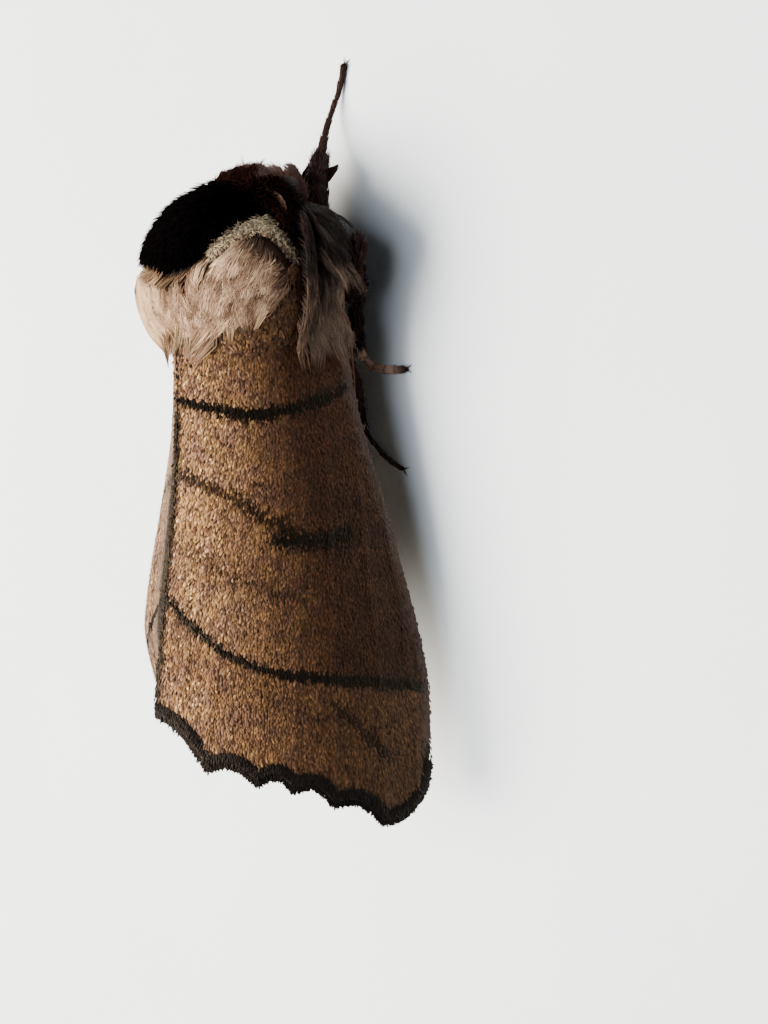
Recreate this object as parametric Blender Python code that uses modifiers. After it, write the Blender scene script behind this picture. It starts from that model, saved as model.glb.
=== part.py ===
"""A prominent moth at rest, life size, as a still model.

The head points to -Y and the feet stand on z = 0. Sizes are in millimetres and
are turned into metres where a mesh is made. A station is a distance back from
the front of the head, and a height is a distance up from the ground. The moth's
right side is -X.
"""

import math

import bmesh
import bpy
from mathutils import Vector

MM = 0.001
ORIGIN_STATION = 10.6  # station of the model's origin, the middle of its length
GAP = 0.1  # clearance between neighbouring pieces
SIDES = {"right": -1, "left": 1}

# Thorax with its coat of hair: round above, flatter below
THORAX_RADIUS = 4.28
THORAX_WIDEST = 3.9  # station
THORAX_FRONT_REACH = 3.95
THORAX_REAR_REACH = 4.4
THORAX_FRONT_POWER = 1.8
THORAX_REAR_POWER = 2.2
THORAX_AXIS_HEIGHT = 4.9
THORAX_AXIS_DROP = 0.9  # how much lower the axis runs at the neck
THORAX_BELLY_FLATNESS = 0.8

# Collar: the slice of the thorax between two leaning planes
COLLAR_FRONT = (0.0, 5.5)  # station and height where the plane meets the middle line
COLLAR_REAR = (0.9, 6.5)
COLLAR_LEAN = 0.52  # station lost for each unit of height
COLLAR_SWELL = 0.12

# Tegulae: the hairy lobes over the wing bases
TEGULA_MIDDLE = 4.7  # station
TEGULA_HALF_LENGTH = 2.5
TEGULA_ANGLE = math.radians(49)  # of its middle, from straight up
TEGULA_HALF_ANGLE = math.radians(36)
TEGULA_OUTER_SWELL = 0.12
TEGULA_DEPTH = 0.65

# Head
HEAD_MIDDLE = (0.0, 0.95, 3.7)  # sideways, station, height
HEAD_HALF_SIZE = (1.75, 1.3, 1.6)
EYE_MIDDLE = (1.32, 0.75, 3.65)
EYE_RADIUS = 0.78
PALP_ROUTE = ((0.42, 0.6, 2.3, 0.28), (0.45, -0.3, 2.2, 0.28), (0.5, -0.5, 2.9, 0.25))

# Abdomen
ABDOMEN_MIDDLE = 13.4  # station
ABDOMEN_HALF_LENGTH = 6.7
ABDOMEN_RADIUS = 2.45
ABDOMEN_POWER = 2.5
ABDOMEN_AXIS_HEIGHT = 3.65

# Forewing: an arched sheet whose ridge is the inner margin and whose lower edge is the costa
WING_THICKNESS = 0.5
WING_FRONT = 4.2  # station of the wing base
RIDGE_HEIGHT = 8.65
RIDGE_RISE = 1.6
SLOPE_AT_RIDGE = 34.0  # degrees below level, where the wing leaves the ridge
SLOPE_AT_RIDGE_LOSS = 18.0
SLOPE_AT_COSTA = 80.0
SLOPE_AT_COSTA_GAIN = 12.0
COSTA_ARC = 7.4  # arc from ridge to costa behind the base
COSTA_ARC_GAIN = 4.65
BASE_NARROWING = 1.4
INNER_MARGIN_SETBACK = 5.6  # arc between the ridge and the wing base
SEAM_FRONT = 7.2  # station where the two wings meet
WING_TEETH = ((0.0, 21.45), (2.4, 23.6), (4.45, 24.2), (5.9, 24.5), (7.5, 25.1), (9.6, 25.9))
TOOTH_DEPTH = 0.42
APEX_REACH = 2.5  # how far the rounded apex runs along the costa

# Hindwing: lies close under the forewing
HINDWING_CLEARANCE = 0.2
HINDWING_FRONT = 6.8
HINDWING_REAR = 20.6
HINDWING_ARC = (1.2, 0.8)  # arcs left free at the ridge and at the costa

# The left pair is folded further forward than the right one and tucks under it at the rear
ADVANCE = {"right": 0.0, "left": 1.9}
TUCK = {"right": 0.0, "left": 1.0}
SINK = {"right": 0.0, "left": 0.2}
TUCKED_SLOPE = {"right": 0.0, "left": 9.0}  # degrees added to the slope at the ridge
TUCK_STATIONS = (17.5, 22.5)

# Legs: sideways, station, height and radius along each one
FOOT_HEIGHT = 0.2
FORELEG_REACHING = (
    (1.3, 2.9, 2.3, 0.50), (1.5, 1.5, 2.2, 0.60), (1.3, 0.3, 1.95, 0.62),
    (1.0, -0.8, 1.4, 0.42), (0.7, -2.0, 0.8, 0.28), (0.7, -2.9, 0.4, 0.25),
    (0.95, -3.7, FOOT_HEIGHT, 0.25), (1.2, -4.72, FOOT_HEIGHT, 0.27),
)
FORELEG_TUCKED = (
    (1.3, 2.9, 2.3, 0.50), (2.3, 2.3, 2.1, 0.60), (3.3, 1.7, 2.0, 0.55),
    (3.5, 1.2, 1.3, 0.40), (3.4, 0.9, 0.5, 0.28), (3.1, 0.5, FOOT_HEIGHT, 0.25),
    (2.5, 0.1, FOOT_HEIGHT, 0.25),
)
MIDLEG = (
    (1.6, 4.6, 2.0, 0.50), (3.45, 5.05, 1.65, 0.44), (4.05, 4.0, 2.6, 0.40), (4.15, 3.2, 2.2, 0.32),
    (3.75, 2.7, 2.0, 0.30), (2.7, 2.8, 1.3, 0.30), (2.6, 4.2, 0.85, 0.33), (2.5, 5.7, 1.1, 0.34),
    (2.0, 7.2, 0.5, 0.27), (2.7, 8.05, FOOT_HEIGHT, 0.25), (4.45, 8.0, FOOT_HEIGHT, 0.26),
)
HINDLEG = (
    (1.3, 6.2, 2.2, 0.50), (2.3, 7.4, 1.7, 0.45), (2.85, 8.6, 1.5, 0.38),
    (2.3, 9.4, 0.8, 0.30), (1.75, 10.1, FOOT_HEIGHT, 0.25), (2.4, 10.9, FOOT_HEIGHT, 0.25),
    (3.3, 11.7, FOOT_HEIGHT, 0.25), (4.1, 12.05, FOOT_HEIGHT, 0.26),
)

# Antenna: where it hugs the thorax, by angle, station and how far its axis stands off
ANTENNA_RADIUS = 0.25
ANTENNA_ROOT = ((0.8, 0.8, 4.5), (1.3, 0.6, 4.75))
ANTENNA_HUG = ((74, 1.2, 0.6), (80, 2.0, 0.5), (90, 3.0, 0.45), (99, 4.0, 0.42), (106, 4.9, 0.42))
ANTENNA_UNDER_WING = ((3.95, 5.9, 2.6), (3.6, 7.0, 2.2), (3.5, 8.3, 2.0), (3.35, 9.4, 1.85))

# Base colour (linear), roughness and metallic value of each piece
LOOKS = {
    "head_hair": ((0.17, 0.085, 0.045, 1), 0.8, 0.0),
    "collar_hair": ((0.11, 0.045, 0.03, 1), 0.8, 0.0),
    "thorax_hair": ((0.02, 0.011, 0.01, 1), 0.85, 0.0),
    "tegula_hair": ((0.42, 0.3, 0.21, 1), 0.85, 0.0),
    "abdomen_hair": ((0.3, 0.19, 0.1, 1), 0.85, 0.0),
    "wing_scales": ((0.2, 0.105, 0.045, 1), 0.6, 0.0),
    "hindwing_scales": ((0.42, 0.33, 0.22, 1), 0.6, 0.0),
    "eye_lens": ((0.02, 0.014, 0.01, 1), 0.2, 0.0),
    "leg_hair": ((0.12, 0.06, 0.035, 1), 0.8, 0.0),
    "antenna_scales": ((0.25, 0.14, 0.07, 1), 0.6, 0.0),
}


def clear_scene():
    for obj in list(bpy.data.objects):
        bpy.data.objects.remove(obj, do_unlink=True)


def new_collection(name):
    collection = bpy.data.collections.new(name)
    bpy.context.scene.collection.children.link(collection)
    return collection


def new_material(name):
    colour, roughness, metallic = LOOKS[name]
    material = bpy.data.materials.new(name)
    material.use_nodes = True
    shader = material.node_tree.nodes["Principled BSDF"]
    shader.inputs["Base Color"].default_value = colour
    shader.inputs["Roughness"].default_value = roughness
    shader.inputs["Metallic"].default_value = metallic
    material.diffuse_color = colour
    return material


def point(sideways, station, height):
    """A place on the moth, in metres."""
    return Vector((sideways, station - ORIGIN_STATION, height)) * MM


def mirrored(route, side):
    return [(side * stop[0], *stop[1:]) for stop in route]


def smoothstep(value, low, high):
    share = min(max((value - low) / (high - low), 0.0), 1.0)
    return share * share * (3 - 2 * share)


def superellipse(share, power):
    """Height of a rounded hump of unit size at this share of its half length."""
    return max(1 - abs(share) ** power, 0.0) ** (1 / power)


def add_object(name, mesh, collection, material=None):
    obj = bpy.data.objects.new(name, mesh)
    collection.objects.link(obj)
    if material:
        mesh.materials.append(material)
        mesh.shade_smooth()
        mesh.set_sharp_from_angle(angle=math.radians(40))
    else:
        obj.hide_render = True
        obj.display_type = "WIRE"
    return obj


def face_outward(bm):
    bm.normal_update()
    bmesh.ops.recalc_face_normals(bm, faces=bm.faces)
    if bm.calc_volume(signed=True) < 0:
        bmesh.ops.reverse_faces(bm, faces=bm.faces)


def reshaped_sphere(name, segments, rings, place, collection, material=None):
    """A ball whose points, given as a unit vector with +Z to the rear, are moved by place."""
    bm = bmesh.new()
    bmesh.ops.create_uvsphere(bm, u_segments=segments, v_segments=rings, radius=1)
    for vert in bm.verts:
        vert.co = place(vert.co.copy())
    face_outward(bm)
    mesh = bpy.data.meshes.new(name)
    bm.to_mesh(mesh)
    bm.free()
    return add_object(name, mesh, collection, material)


def tube(name, route, collection, material=None, smoothing=2):
    """A tapering tube through stops of (sideways, station, height, radius)."""
    curve = bpy.data.curves.new(name, "CURVE")
    curve.dimensions = "3D"
    curve.bevel_depth = MM
    curve.bevel_resolution = 2
    curve.use_fill_caps = True
    curve.resolution_u = smoothing
    spline = curve.splines.new("NURBS")
    spline.points.add(len(route) - 1)
    for spot, (sideways, station, height, radius) in zip(spline.points, route):
        spot.co = (*point(sideways, station, height), 1)
        spot.radius = radius
    spline.order_u = 3
    spline.use_endpoint_u = True
    source = bpy.data.objects.new(name + "_path", curve)
    collection.objects.link(source)
    graph = bpy.context.evaluated_depsgraph_get()
    mesh = bpy.data.meshes.new_from_object(source.evaluated_get(graph))
    bpy.data.objects.remove(source)
    bm = bmesh.new()
    bm.from_mesh(mesh)
    bmesh.ops.remove_doubles(bm, verts=bm.verts, dist=0.001 * MM)
    face_outward(bm)
    bm.to_mesh(mesh)
    bm.free()
    mesh.materials.clear()
    mesh.name = name
    return add_object(name, mesh, collection, material)


def box(name, low, high, collection):
    """A plain cutter between two corners, given as (sideways, station, height)."""
    bm = bmesh.new()
    bmesh.ops.create_cube(bm, size=1)
    low, high = point(*low), point(*high)
    for vert in bm.verts:
        vert.co = [(a + b) / 2 + (b - a) * c for a, b, c in zip(low, high, vert.co)]
    mesh = bpy.data.meshes.new(name)
    bm.to_mesh(mesh)
    bm.free()
    return add_object(name, mesh, collection)


def cut(obj, *cutters, keep_common=False):
    for cutter in cutters:
        boolean = obj.modifiers.new(cutter.name, "BOOLEAN")
        boolean.operation = "INTERSECT" if keep_common else "DIFFERENCE"
        boolean.solver = "EXACT"
        boolean.object = cutter


def thorax_point(angle, station, swell=0.0):
    """A point on the coat of the thorax, at an angle from straight up, raised by swell."""
    offset = station - THORAX_WIDEST
    if offset < 0:
        share, power = offset / (THORAX_FRONT_REACH + swell), THORAX_FRONT_POWER
    else:
        share, power = offset / (THORAX_REAR_REACH + swell), THORAX_REAR_POWER
    radius = (THORAX_RADIUS + swell) * superellipse(share, power)
    axis = THORAX_AXIS_HEIGHT - THORAX_AXIS_DROP * (1 - smoothstep(station, 0, 3))
    lift = radius * math.cos(angle)
    if lift < 0:
        lift *= THORAX_BELLY_FLATNESS
    return radius * math.sin(angle), station, axis + lift


def whole_thorax(name, collection, material=None, swell=0.0):
    def place(spot):
        reach = THORAX_FRONT_REACH if spot.z < 0 else THORAX_REAR_REACH
        station = THORAX_WIDEST + spot.z * (reach + swell)
        return point(*thorax_point(math.atan2(spot.x, spot.y), station, swell))

    return reshaped_sphere(name, 28, 15, place, collection, material)


def behind_plane(name, middle, collection):
    """A block behind a leaning plane that crosses the middle line at (station, height)."""
    block = box(name, (-9, ORIGIN_STATION, -14), (9, ORIGIN_STATION + 16, 14), collection)
    block.location = point(0, *middle)
    block.rotation_euler.x = math.atan(COLLAR_LEAN)
    return block


def tegula(name, side, collection, material=None, swell=0.0):
    """A lobe that follows the side of the thorax."""
    def place(spot):
        station = TEGULA_MIDDLE + spot.z * (TEGULA_HALF_LENGTH + swell)
        half_angle = TEGULA_HALF_ANGLE + swell / THORAX_RADIUS
        angle = TEGULA_ANGLE + spot.x * half_angle
        middle = TEGULA_OUTER_SWELL - TEGULA_DEPTH / 2
        rise = middle + spot.y * (TEGULA_DEPTH / 2 + swell)
        sideways, station, height = thorax_point(angle, station, rise)
        return point(side * sideways, station, height)

    return reshaped_sphere(name, 16, 12, place, collection, material)


def ball(name, middle, half_size, collection, material=None, swell=0.0, detail=(18, 11)):
    """An ellipsoid; its middle and half sizes are given sideways, along and up."""
    def place(spot):
        sideways = middle[0] + spot.x * (half_size[0] + swell)
        station = middle[1] + spot.z * (half_size[1] + swell)
        height = middle[2] + spot.y * (half_size[2] + swell)
        return point(sideways, station, height)

    return reshaped_sphere(name, *detail, place, collection, material)


def abdomen(collection, material):
    def place(spot):
        station = ABDOMEN_MIDDLE + spot.z * ABDOMEN_HALF_LENGTH
        radius = ABDOMEN_RADIUS * superellipse(spot.z, ABDOMEN_POWER)
        angle = math.atan2(spot.x, spot.y)
        height = ABDOMEN_AXIS_HEIGHT + radius * math.cos(angle)
        return point(radius * math.sin(angle), station, height)

    return reshaped_sphere("abdomen", 24, 13, place, collection, material)


def ridge_height(station):
    return RIDGE_HEIGHT + RIDGE_RISE * smoothstep(station, 9, 24)


def costa_arc(station):
    narrowing = BASE_NARROWING * (1 - smoothstep(station, 4, 7.5))
    return COSTA_ARC + COSTA_ARC_GAIN * smoothstep(station, 7, 22.3) - narrowing


def wing_surface(side_name, arc, station, depth=0.0):
    """A point of the wing's outer face, at this arc from the ridge, or at a depth below it."""
    tucked = smoothstep(station, *TUCK_STATIONS)
    first = SLOPE_AT_RIDGE - SLOPE_AT_RIDGE_LOSS * smoothstep(station, 6, 17)
    first = math.radians(first + tucked * TUCKED_SLOPE[side_name])
    last = math.radians(SLOPE_AT_COSTA + SLOPE_AT_COSTA_GAIN * smoothstep(station, 9, 18))
    full_arc = COSTA_ARC + COSTA_ARC_GAIN * smoothstep(station, 7, 22.3)
    bend = (last - first) / full_arc
    slope = first + bend * arc
    sideways = (math.sin(slope) - math.sin(first)) / bend
    drop = (math.cos(first) - math.cos(slope)) / bend
    return (
        sideways - depth * math.sin(slope) - tucked * TUCK[side_name],
        station,
        ridge_height(station) - drop - depth * math.cos(slope) - tucked * SINK[side_name],
    )


def outer_margin(arc):
    """Station of the forewing's toothed rear edge at this arc from the ridge."""
    last_arc, last_station = WING_TEETH[-1]
    if arc >= last_arc:
        share = min((arc - last_arc) / (costa_arc(last_station) - last_arc), 1.0)
        return last_station - APEX_REACH * (1 - superellipse(share, 2))
    for (arc_a, station_a), (arc_b, station_b) in zip(WING_TEETH, WING_TEETH[1:]):
        if arc <= arc_b:
            share = (arc - arc_a) / (arc_b - arc_a)
            hollow = TOOTH_DEPTH * math.sin(math.pi * share)
            return station_a + share * (station_b - station_a) - hollow


def margin_shares():
    """Where the columns of the forewing meet its rear edge, as shares of its width."""
    full = costa_arc(WING_TEETH[-1][1])
    shares = []
    for (arc_a, _), (arc_b, _) in zip(WING_TEETH, WING_TEETH[1:]):
        shares += [(arc_a + (arc_b - arc_a) * step / 4) / full for step in range(4)]
    last = WING_TEETH[-1][0] / full
    turns = 6
    shares += [last + (1 - last) * math.sin(math.pi / 2 * step / turns) for step in range(turns + 1)]
    return shares


def wing_sheet(name, side, columns, rows, place, collection, material):
    """A grid of columns by rows whose points are set by place, thickened inward."""
    bm = bmesh.new()
    bmesh.ops.create_grid(bm, x_segments=columns, y_segments=rows, size=1)
    for vert in bm.verts:
        column = round((vert.co.x + 1) / 2 * columns)
        along = (vert.co.y + 1) / 2
        sideways, station, height = place(column, along)
        vert.co = point(side * sideways, station, height)
    bm.normal_update()
    if sum(face.normal.x * face.calc_area() for face in bm.faces) * side < 0:
        bmesh.ops.reverse_faces(bm, faces=bm.faces)
    mesh = bpy.data.meshes.new(name)
    bm.to_mesh(mesh)
    bm.free()
    obj = add_object(name, mesh, collection, material)
    solidify = obj.modifiers.new("membrane", "SOLIDIFY")
    solidify.thickness = WING_THICKNESS * MM
    solidify.offset = -1
    return obj


def forewing(side_name, collection, material):
    shares = margin_shares()

    def place(column, along):
        share = shares[column]
        rear = outer_margin(share * costa_arc(WING_TEETH[-1][1])) - ADVANCE[side_name]
        station = WING_FRONT + along * (rear - WING_FRONT)
        setback = INNER_MARGIN_SETBACK * (1 - smoothstep(station, WING_FRONT, SEAM_FRONT))
        inner = setback - 0.5 * smoothstep(station, WING_FRONT, SEAM_FRONT)
        arc = inner + share * (costa_arc(station) - inner)
        return wing_surface(side_name, arc, station)

    name = "forewing_" + side_name
    return wing_sheet(name, SIDES[side_name], len(shares) - 1, 10, place, collection, material)


def hindwing(side_name, collection, material):
    columns, rows = 8, 7
    depth = WING_THICKNESS + HINDWING_CLEARANCE

    def place(column, along):
        share = column / columns
        rounding = superellipse(2 * share - 1, 3)
        length = HINDWING_REAR - ADVANCE[side_name] - HINDWING_FRONT
        rear = HINDWING_FRONT + length * (0.82 + 0.18 * rounding)
        station = HINDWING_FRONT + along * (rear - HINDWING_FRONT)
        inner, outer = HINDWING_ARC[0], costa_arc(station) - HINDWING_ARC[1]
        return wing_surface(side_name, inner + share * (outer - inner), station, depth)

    name = "hindwing_" + side_name
    return wing_sheet(name, SIDES[side_name], columns, rows, place, collection, material)


def antenna(name, side, collection, material=None, swell=0.0):
    route = [*ANTENNA_ROOT]
    for degrees, station, stand_off in ANTENNA_HUG:
        route.append(thorax_point(math.radians(degrees), station, stand_off))
    route += ANTENNA_UNDER_WING
    stops = [(*spot, ANTENNA_RADIUS + swell) for spot in route]
    return tube(name, mirrored(stops, side), collection, material, smoothing=1)


def build():
    clear_scene()
    parts = new_collection("Resting moth")
    cutters = new_collection("Cutters")
    looks = {name: new_material(name) for name in LOOKS}

    # Cutters: the neighbours, swollen by the clearance between pieces
    near_thorax = whole_thorax("near_thorax", cutters, swell=GAP)
    clear_of_body = whole_thorax("clear_of_body", cutters, swell=TEGULA_OUTER_SWELL + 1.5 * GAP)
    near_head = ball("near_head", HEAD_MIDDLE, HEAD_HALF_SIZE, cutters, swell=GAP)
    behind_collar = behind_plane("behind_collar", COLLAR_REAR, cutters)
    behind_face = behind_plane("behind_face", COLLAR_FRONT, cutters)
    collar_end = behind_plane("collar_end", (COLLAR_REAR[0] - GAP, COLLAR_REAR[1]), cutters)
    left_half = box("left_half", (-GAP / 2, 3, 0), (9, 27, 12), cutters)
    right_half = box("right_half", (-9, 3, 0), (GAP / 2, 27, 12), cutters)
    other_half = {"right": left_half, "left": right_half}
    ground = box("ground", (-9, -8, -2), (9, 20, 0), cutters)
    eye_size = (EYE_RADIUS,) * 3
    eye_middle = {name: (side * EYE_MIDDLE[0], *EYE_MIDDLE[1:]) for name, side in SIDES.items()}
    near_eyes, near_tegulae, near_antennae = [], [], []
    for side_name, side in SIDES.items():
        near_eye = ball("near_eye_" + side_name, eye_middle[side_name], eye_size, cutters,
                        swell=GAP, detail=(14, 9))
        near_eyes.append(near_eye)
        near_tegulae.append(tegula("near_tegula_" + side_name, side, cutters, None, GAP))
        near_antennae.append(antenna("near_antenna_" + side_name, side, cutters, None, GAP))

    # Body
    head = ball("head", HEAD_MIDDLE, HEAD_HALF_SIZE, parts, looks["head_hair"])
    cut(head, *near_eyes)
    collar = whole_thorax("collar", parts, looks["collar_hair"], COLLAR_SWELL)
    cut(collar, behind_face, keep_common=True)
    cut(collar, collar_end, near_head, *near_eyes, *near_antennae)
    thorax = whole_thorax("thorax", parts, looks["thorax_hair"])
    cut(thorax, behind_collar, keep_common=True)
    cut(thorax, near_head, *near_tegulae)
    cut(abdomen(parts, looks["abdomen_hair"]), near_thorax)

    for side_name, side in SIDES.items():
        ball("eye_" + side_name, eye_middle[side_name], eye_size, parts, looks["eye_lens"],
             detail=(14, 9))
        palp = tube("palp_" + side_name, mirrored(PALP_ROUTE, side), parts, looks["head_hair"])
        cut(palp, near_head)
        feeler = antenna("antenna_" + side_name, side, parts, looks["antenna_scales"])
        cut(feeler, near_head)
        tegula("tegula_" + side_name, side, parts, looks["tegula_hair"])

        wing = forewing(side_name, parts, looks["wing_scales"])
        cut(wing, other_half[side_name], clear_of_body)
        cut(hindwing(side_name, parts, looks["hindwing_scales"]), clear_of_body)

        forelegs = {"right": FORELEG_REACHING, "left": FORELEG_TUCKED}
        legs = {"foreleg_": forelegs[side_name], "midleg_": MIDLEG, "hindleg_": HINDLEG}
        for leg_name, route in legs.items():
            leg = tube(leg_name + side_name, mirrored(route, side), parts, looks["leg_hair"])
            cut(leg, ground, clear_of_body)


build()
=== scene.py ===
import math

import bmesh
import bpy
import numpy as np
from mathutils import Matrix, Vector


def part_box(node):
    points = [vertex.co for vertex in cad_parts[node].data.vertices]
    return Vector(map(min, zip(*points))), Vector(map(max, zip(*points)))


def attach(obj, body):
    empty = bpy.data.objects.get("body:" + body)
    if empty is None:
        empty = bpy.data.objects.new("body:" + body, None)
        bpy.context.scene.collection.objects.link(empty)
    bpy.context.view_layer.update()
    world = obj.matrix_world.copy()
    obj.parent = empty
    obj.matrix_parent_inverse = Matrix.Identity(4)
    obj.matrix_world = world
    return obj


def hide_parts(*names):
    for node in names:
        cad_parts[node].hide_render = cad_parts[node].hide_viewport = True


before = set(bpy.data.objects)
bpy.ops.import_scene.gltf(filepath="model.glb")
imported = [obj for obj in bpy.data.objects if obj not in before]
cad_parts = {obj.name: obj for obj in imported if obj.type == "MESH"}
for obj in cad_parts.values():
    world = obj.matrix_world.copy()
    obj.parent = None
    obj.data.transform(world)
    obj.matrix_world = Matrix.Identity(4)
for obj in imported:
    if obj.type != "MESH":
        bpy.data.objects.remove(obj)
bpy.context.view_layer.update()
print("frame loaded:", len(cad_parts), "nodes")

# Sizes are in millimetres. A station is a distance back from the face, an arc is a distance
# down a wing from its ridge, and angles round the body start from straight up.
mm = 0.001
sideSign = {"right": -1, "left": 1}
chance = np.random.default_rng(11)
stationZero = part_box("head")[0].y / mm + 0.35  # Y of station 0, just behind the face
bakeMap = {"patch": 0.003, "edge": 0.02}  # size of each tuft's patch, and the map's empty edge


def spot(x, station, height):
    x, station, height = np.broadcast_arrays(x, station, height)
    return np.stack([x, station + stationZero, height], -1)


def smoothStep(value, low, high):
    share = np.clip((value - low) / (high - low), 0, 1)
    return share * share * (3 - 2 * share)


def fade(value, low, high):
    return 1 - smoothStep(value, low, high)


def within(value, limit, softness):  # 1 below the limit, 0 beyond it
    return fade(value, limit - softness, limit + softness)


def hump(share, power):  # height of a rounded hump of unit size
    return np.maximum(1 - np.abs(share) ** power, 0) ** (1 / power)


def bell(value, width):  # 1 in the middle, falling off to both sides
    return np.exp(-(value / width) ** 2)


def unit(vectors):
    return vectors / np.maximum(np.linalg.norm(vectors, axis=-1, keepdims=True), 1e-9)


def swing(first, second, angle):  # the first direction, turned towards the second
    return first * np.cos(angle)[..., None] + second * np.sin(angle)[..., None]


def randomTones(count, middle, spread, top=1):
    return np.clip(chance.normal(middle, spread, count), 0, top)


def mapPlaces(across, along):  # both from 0 to 1
    edge = bakeMap["edge"]
    return edge + (1 - 2 * edge) * np.stack([across, along], 1)


def linear(code):  # sRGB hex to linear colour
    parts = [int(code[i:i + 2], 16) / 255 for i in (1, 3, 5)]
    return [p / 12.92 if p <= 0.04045 else ((p + 0.055) / 1.055) ** 2.4 for p in parts] + [1]


def fillRamp(elements, stops):  # the first two stops are the ramp's own
    for index, (place, code) in enumerate(stops):
        stop = elements[index] if index < 2 else elements.new(place)
        stop.position = place
        stop.color = linear(code)


def linkTo(tree, node, links):  # a link is a socket, or a node for its first output
    for name, source in links.items():
        tree.links.new(getattr(source, "outputs", [source])[0], node.inputs[name])


def addNode(tree, kind, settings, links=None):
    made = tree.nodes.new("ShaderNode" + kind)
    for name, value in settings.items():
        if name == "stops":
            fillRamp(made.color_ramp.elements, value)
        elif isinstance(name, int) or name in made.inputs:
            made.inputs[name].default_value = value
        else:
            setattr(made, name, value)
    linkTo(tree, made, links or {})
    return made


def newMaterial(name, settings):
    material = bpy.data.materials.new(name)
    material.use_nodes = True
    shader = material.node_tree.nodes["Principled BSDF"]
    for socket, value in settings.items():
        shader.inputs[socket].default_value = value
    return material, material.node_tree, shader


def attribute(tree, name):
    return addNode(tree, "Attribute", {"attribute_name": name}).outputs["Fac"]


def objectPlace(tree):
    return addNode(tree, "TexCoord", {}).outputs["Object"]


def tinted(tree, colour, layers):  # layers: attribute, colour, share and, if not MIX, how it blends
    for name, code, share, *blend in layers:
        part = addNode(tree, "Math", {"operation": "MULTIPLY", 1: share}, {0: attribute(tree, name)})
        mixing = {"blend_type": (blend or ["MIX"])[0], "Color2": linear(code)}
        colour = addNode(tree, "MixRGB", mixing, {"Fac": part, "Color1": colour})
    return colour


def addGrain(tree, shader, scale, roughness, strength, depth):
    # one fine noise varies the roughness and gives the relief
    grain = addNode(tree, "TexNoise", {"Scale": scale, "Detail": 2.0}, {"Vector": objectPlace(tree)})
    low, high = roughness
    rough = addNode(tree, "MapRange", {"To Min": low, "To Max": high}, {"Value": grain})
    bump = addNode(tree, "Bump", {"Strength": strength, "Distance": depth * mm}, {"Height": grain})
    linkTo(tree, shader, {"Roughness": rough, "Normal": bump})


def grainedMaterial(name, settings, texture, grainSettings, stops, depth=0.0):
    # one texture gives the colour and, with a depth, the relief too
    material, tree, shader = newMaterial(name, settings)
    grain = addNode(tree, texture, grainSettings, {"Vector": objectPlace(tree)})
    ramp = addNode(tree, "ValToRGB", {"stops": stops}, {"Fac": grain})
    linkTo(tree, shader, {"Base Color": ramp})
    if depth:
        bump = addNode(tree, "Bump", {"Strength": 0.5, "Distance": depth * mm}, {"Height": grain})
        linkTo(tree, shader, {"Normal": bump})
    return material


def selectOnly(*objects):  # the first becomes the active one
    bpy.ops.object.select_all(action="DESELECT")
    for obj in objects:
        obj.select_set(True)
    bpy.context.view_layer.objects.active = objects[0]


def joined(pieces, name):
    selectOnly(*pieces)
    bpy.ops.object.join()
    pieces[0].name = pieces[0].data.name = name
    return pieces[0]


def applyAll(obj):
    selectOnly(obj)
    for modifier in list(obj.modifiers):
        bpy.ops.object.modifier_apply(modifier=modifier.name)


def addPrimitive(name, adder, **settings):
    bpy.ops.object.select_all(action="DESELECT")
    adder(**settings)
    obj = bpy.context.object
    obj.name = obj.data.name = name
    return obj


def pointsOf(mesh):
    found = np.empty(len(mesh.vertices) * 3, np.float32)
    mesh.vertices.foreach_get("co", found)
    return found.reshape(-1, 3).astype(float)


def movePoints(mesh, points):
    mesh.vertices.foreach_set("co", np.asarray(points, np.float32).ravel())
    mesh.update()


def meshFromArrays(name, points, triangles):
    mesh = bpy.data.meshes.new(name)
    mesh.vertices.add(len(points))
    mesh.vertices.foreach_set("co", (points * mm).astype(np.float32).ravel())
    mesh.loops.add(triangles.size)
    mesh.loops.foreach_set("vertex_index", triangles.astype(np.int32).ravel())
    mesh.polygons.add(len(triangles))
    mesh.polygons.foreach_set("loop_start", np.arange(0, triangles.size, 3, dtype=np.int32))
    mesh.update(calc_edges=True)
    obj = bpy.data.objects.new(name, mesh)
    bpy.context.scene.collection.objects.link(obj)
    return obj


def setMarks(mesh, marks):
    for name, values in marks.items():
        layer = mesh.attributes.get(name) or mesh.attributes.new(name, "FLOAT", "POINT")
        layer.data.foreach_set("value", np.asarray(values, np.float32).ravel())


def setBakeMap(mesh, places, patch):  # every tuft has the patch, at its own place
    corners = np.empty(len(mesh.loops), np.int32)
    mesh.loops.foreach_get("vertex_index", corners)
    points = (places[:, None] + bakeMap["patch"] * patch).reshape(-1, 2)
    layer = mesh.uv_layers.new(name="OFBake")
    layer.uv.foreach_set("vector", points[corners].astype(np.float32).ravel())


def finishPiece(obj, material, slotName, nodes=()):
    obj.data.materials.clear()
    obj.data.materials.append(material)
    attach(obj, "root")
    if nodes:
        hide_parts(*nodes)
    return obj


def turnFaces(mesh, outward=True):  # outward, or simply the other way round
    bm = bmesh.new()
    bm.from_mesh(mesh)
    if outward:
        bmesh.ops.recalc_face_normals(bm, faces=bm.faces)
    if not outward or bm.calc_volume(signed=True) < 0:
        bmesh.ops.reverse_faces(bm, faces=bm.faces)
    bm.to_mesh(mesh)
    bm.free()


# Camera
cameraSettings = {
    "elevation": 43.0, "roll": -1.5, "distance": 137.0, "lens": 116.54,
    "aim": (0.0, 9.0, 0.0), "right": 2.0, "up": -4.686,
}


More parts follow.
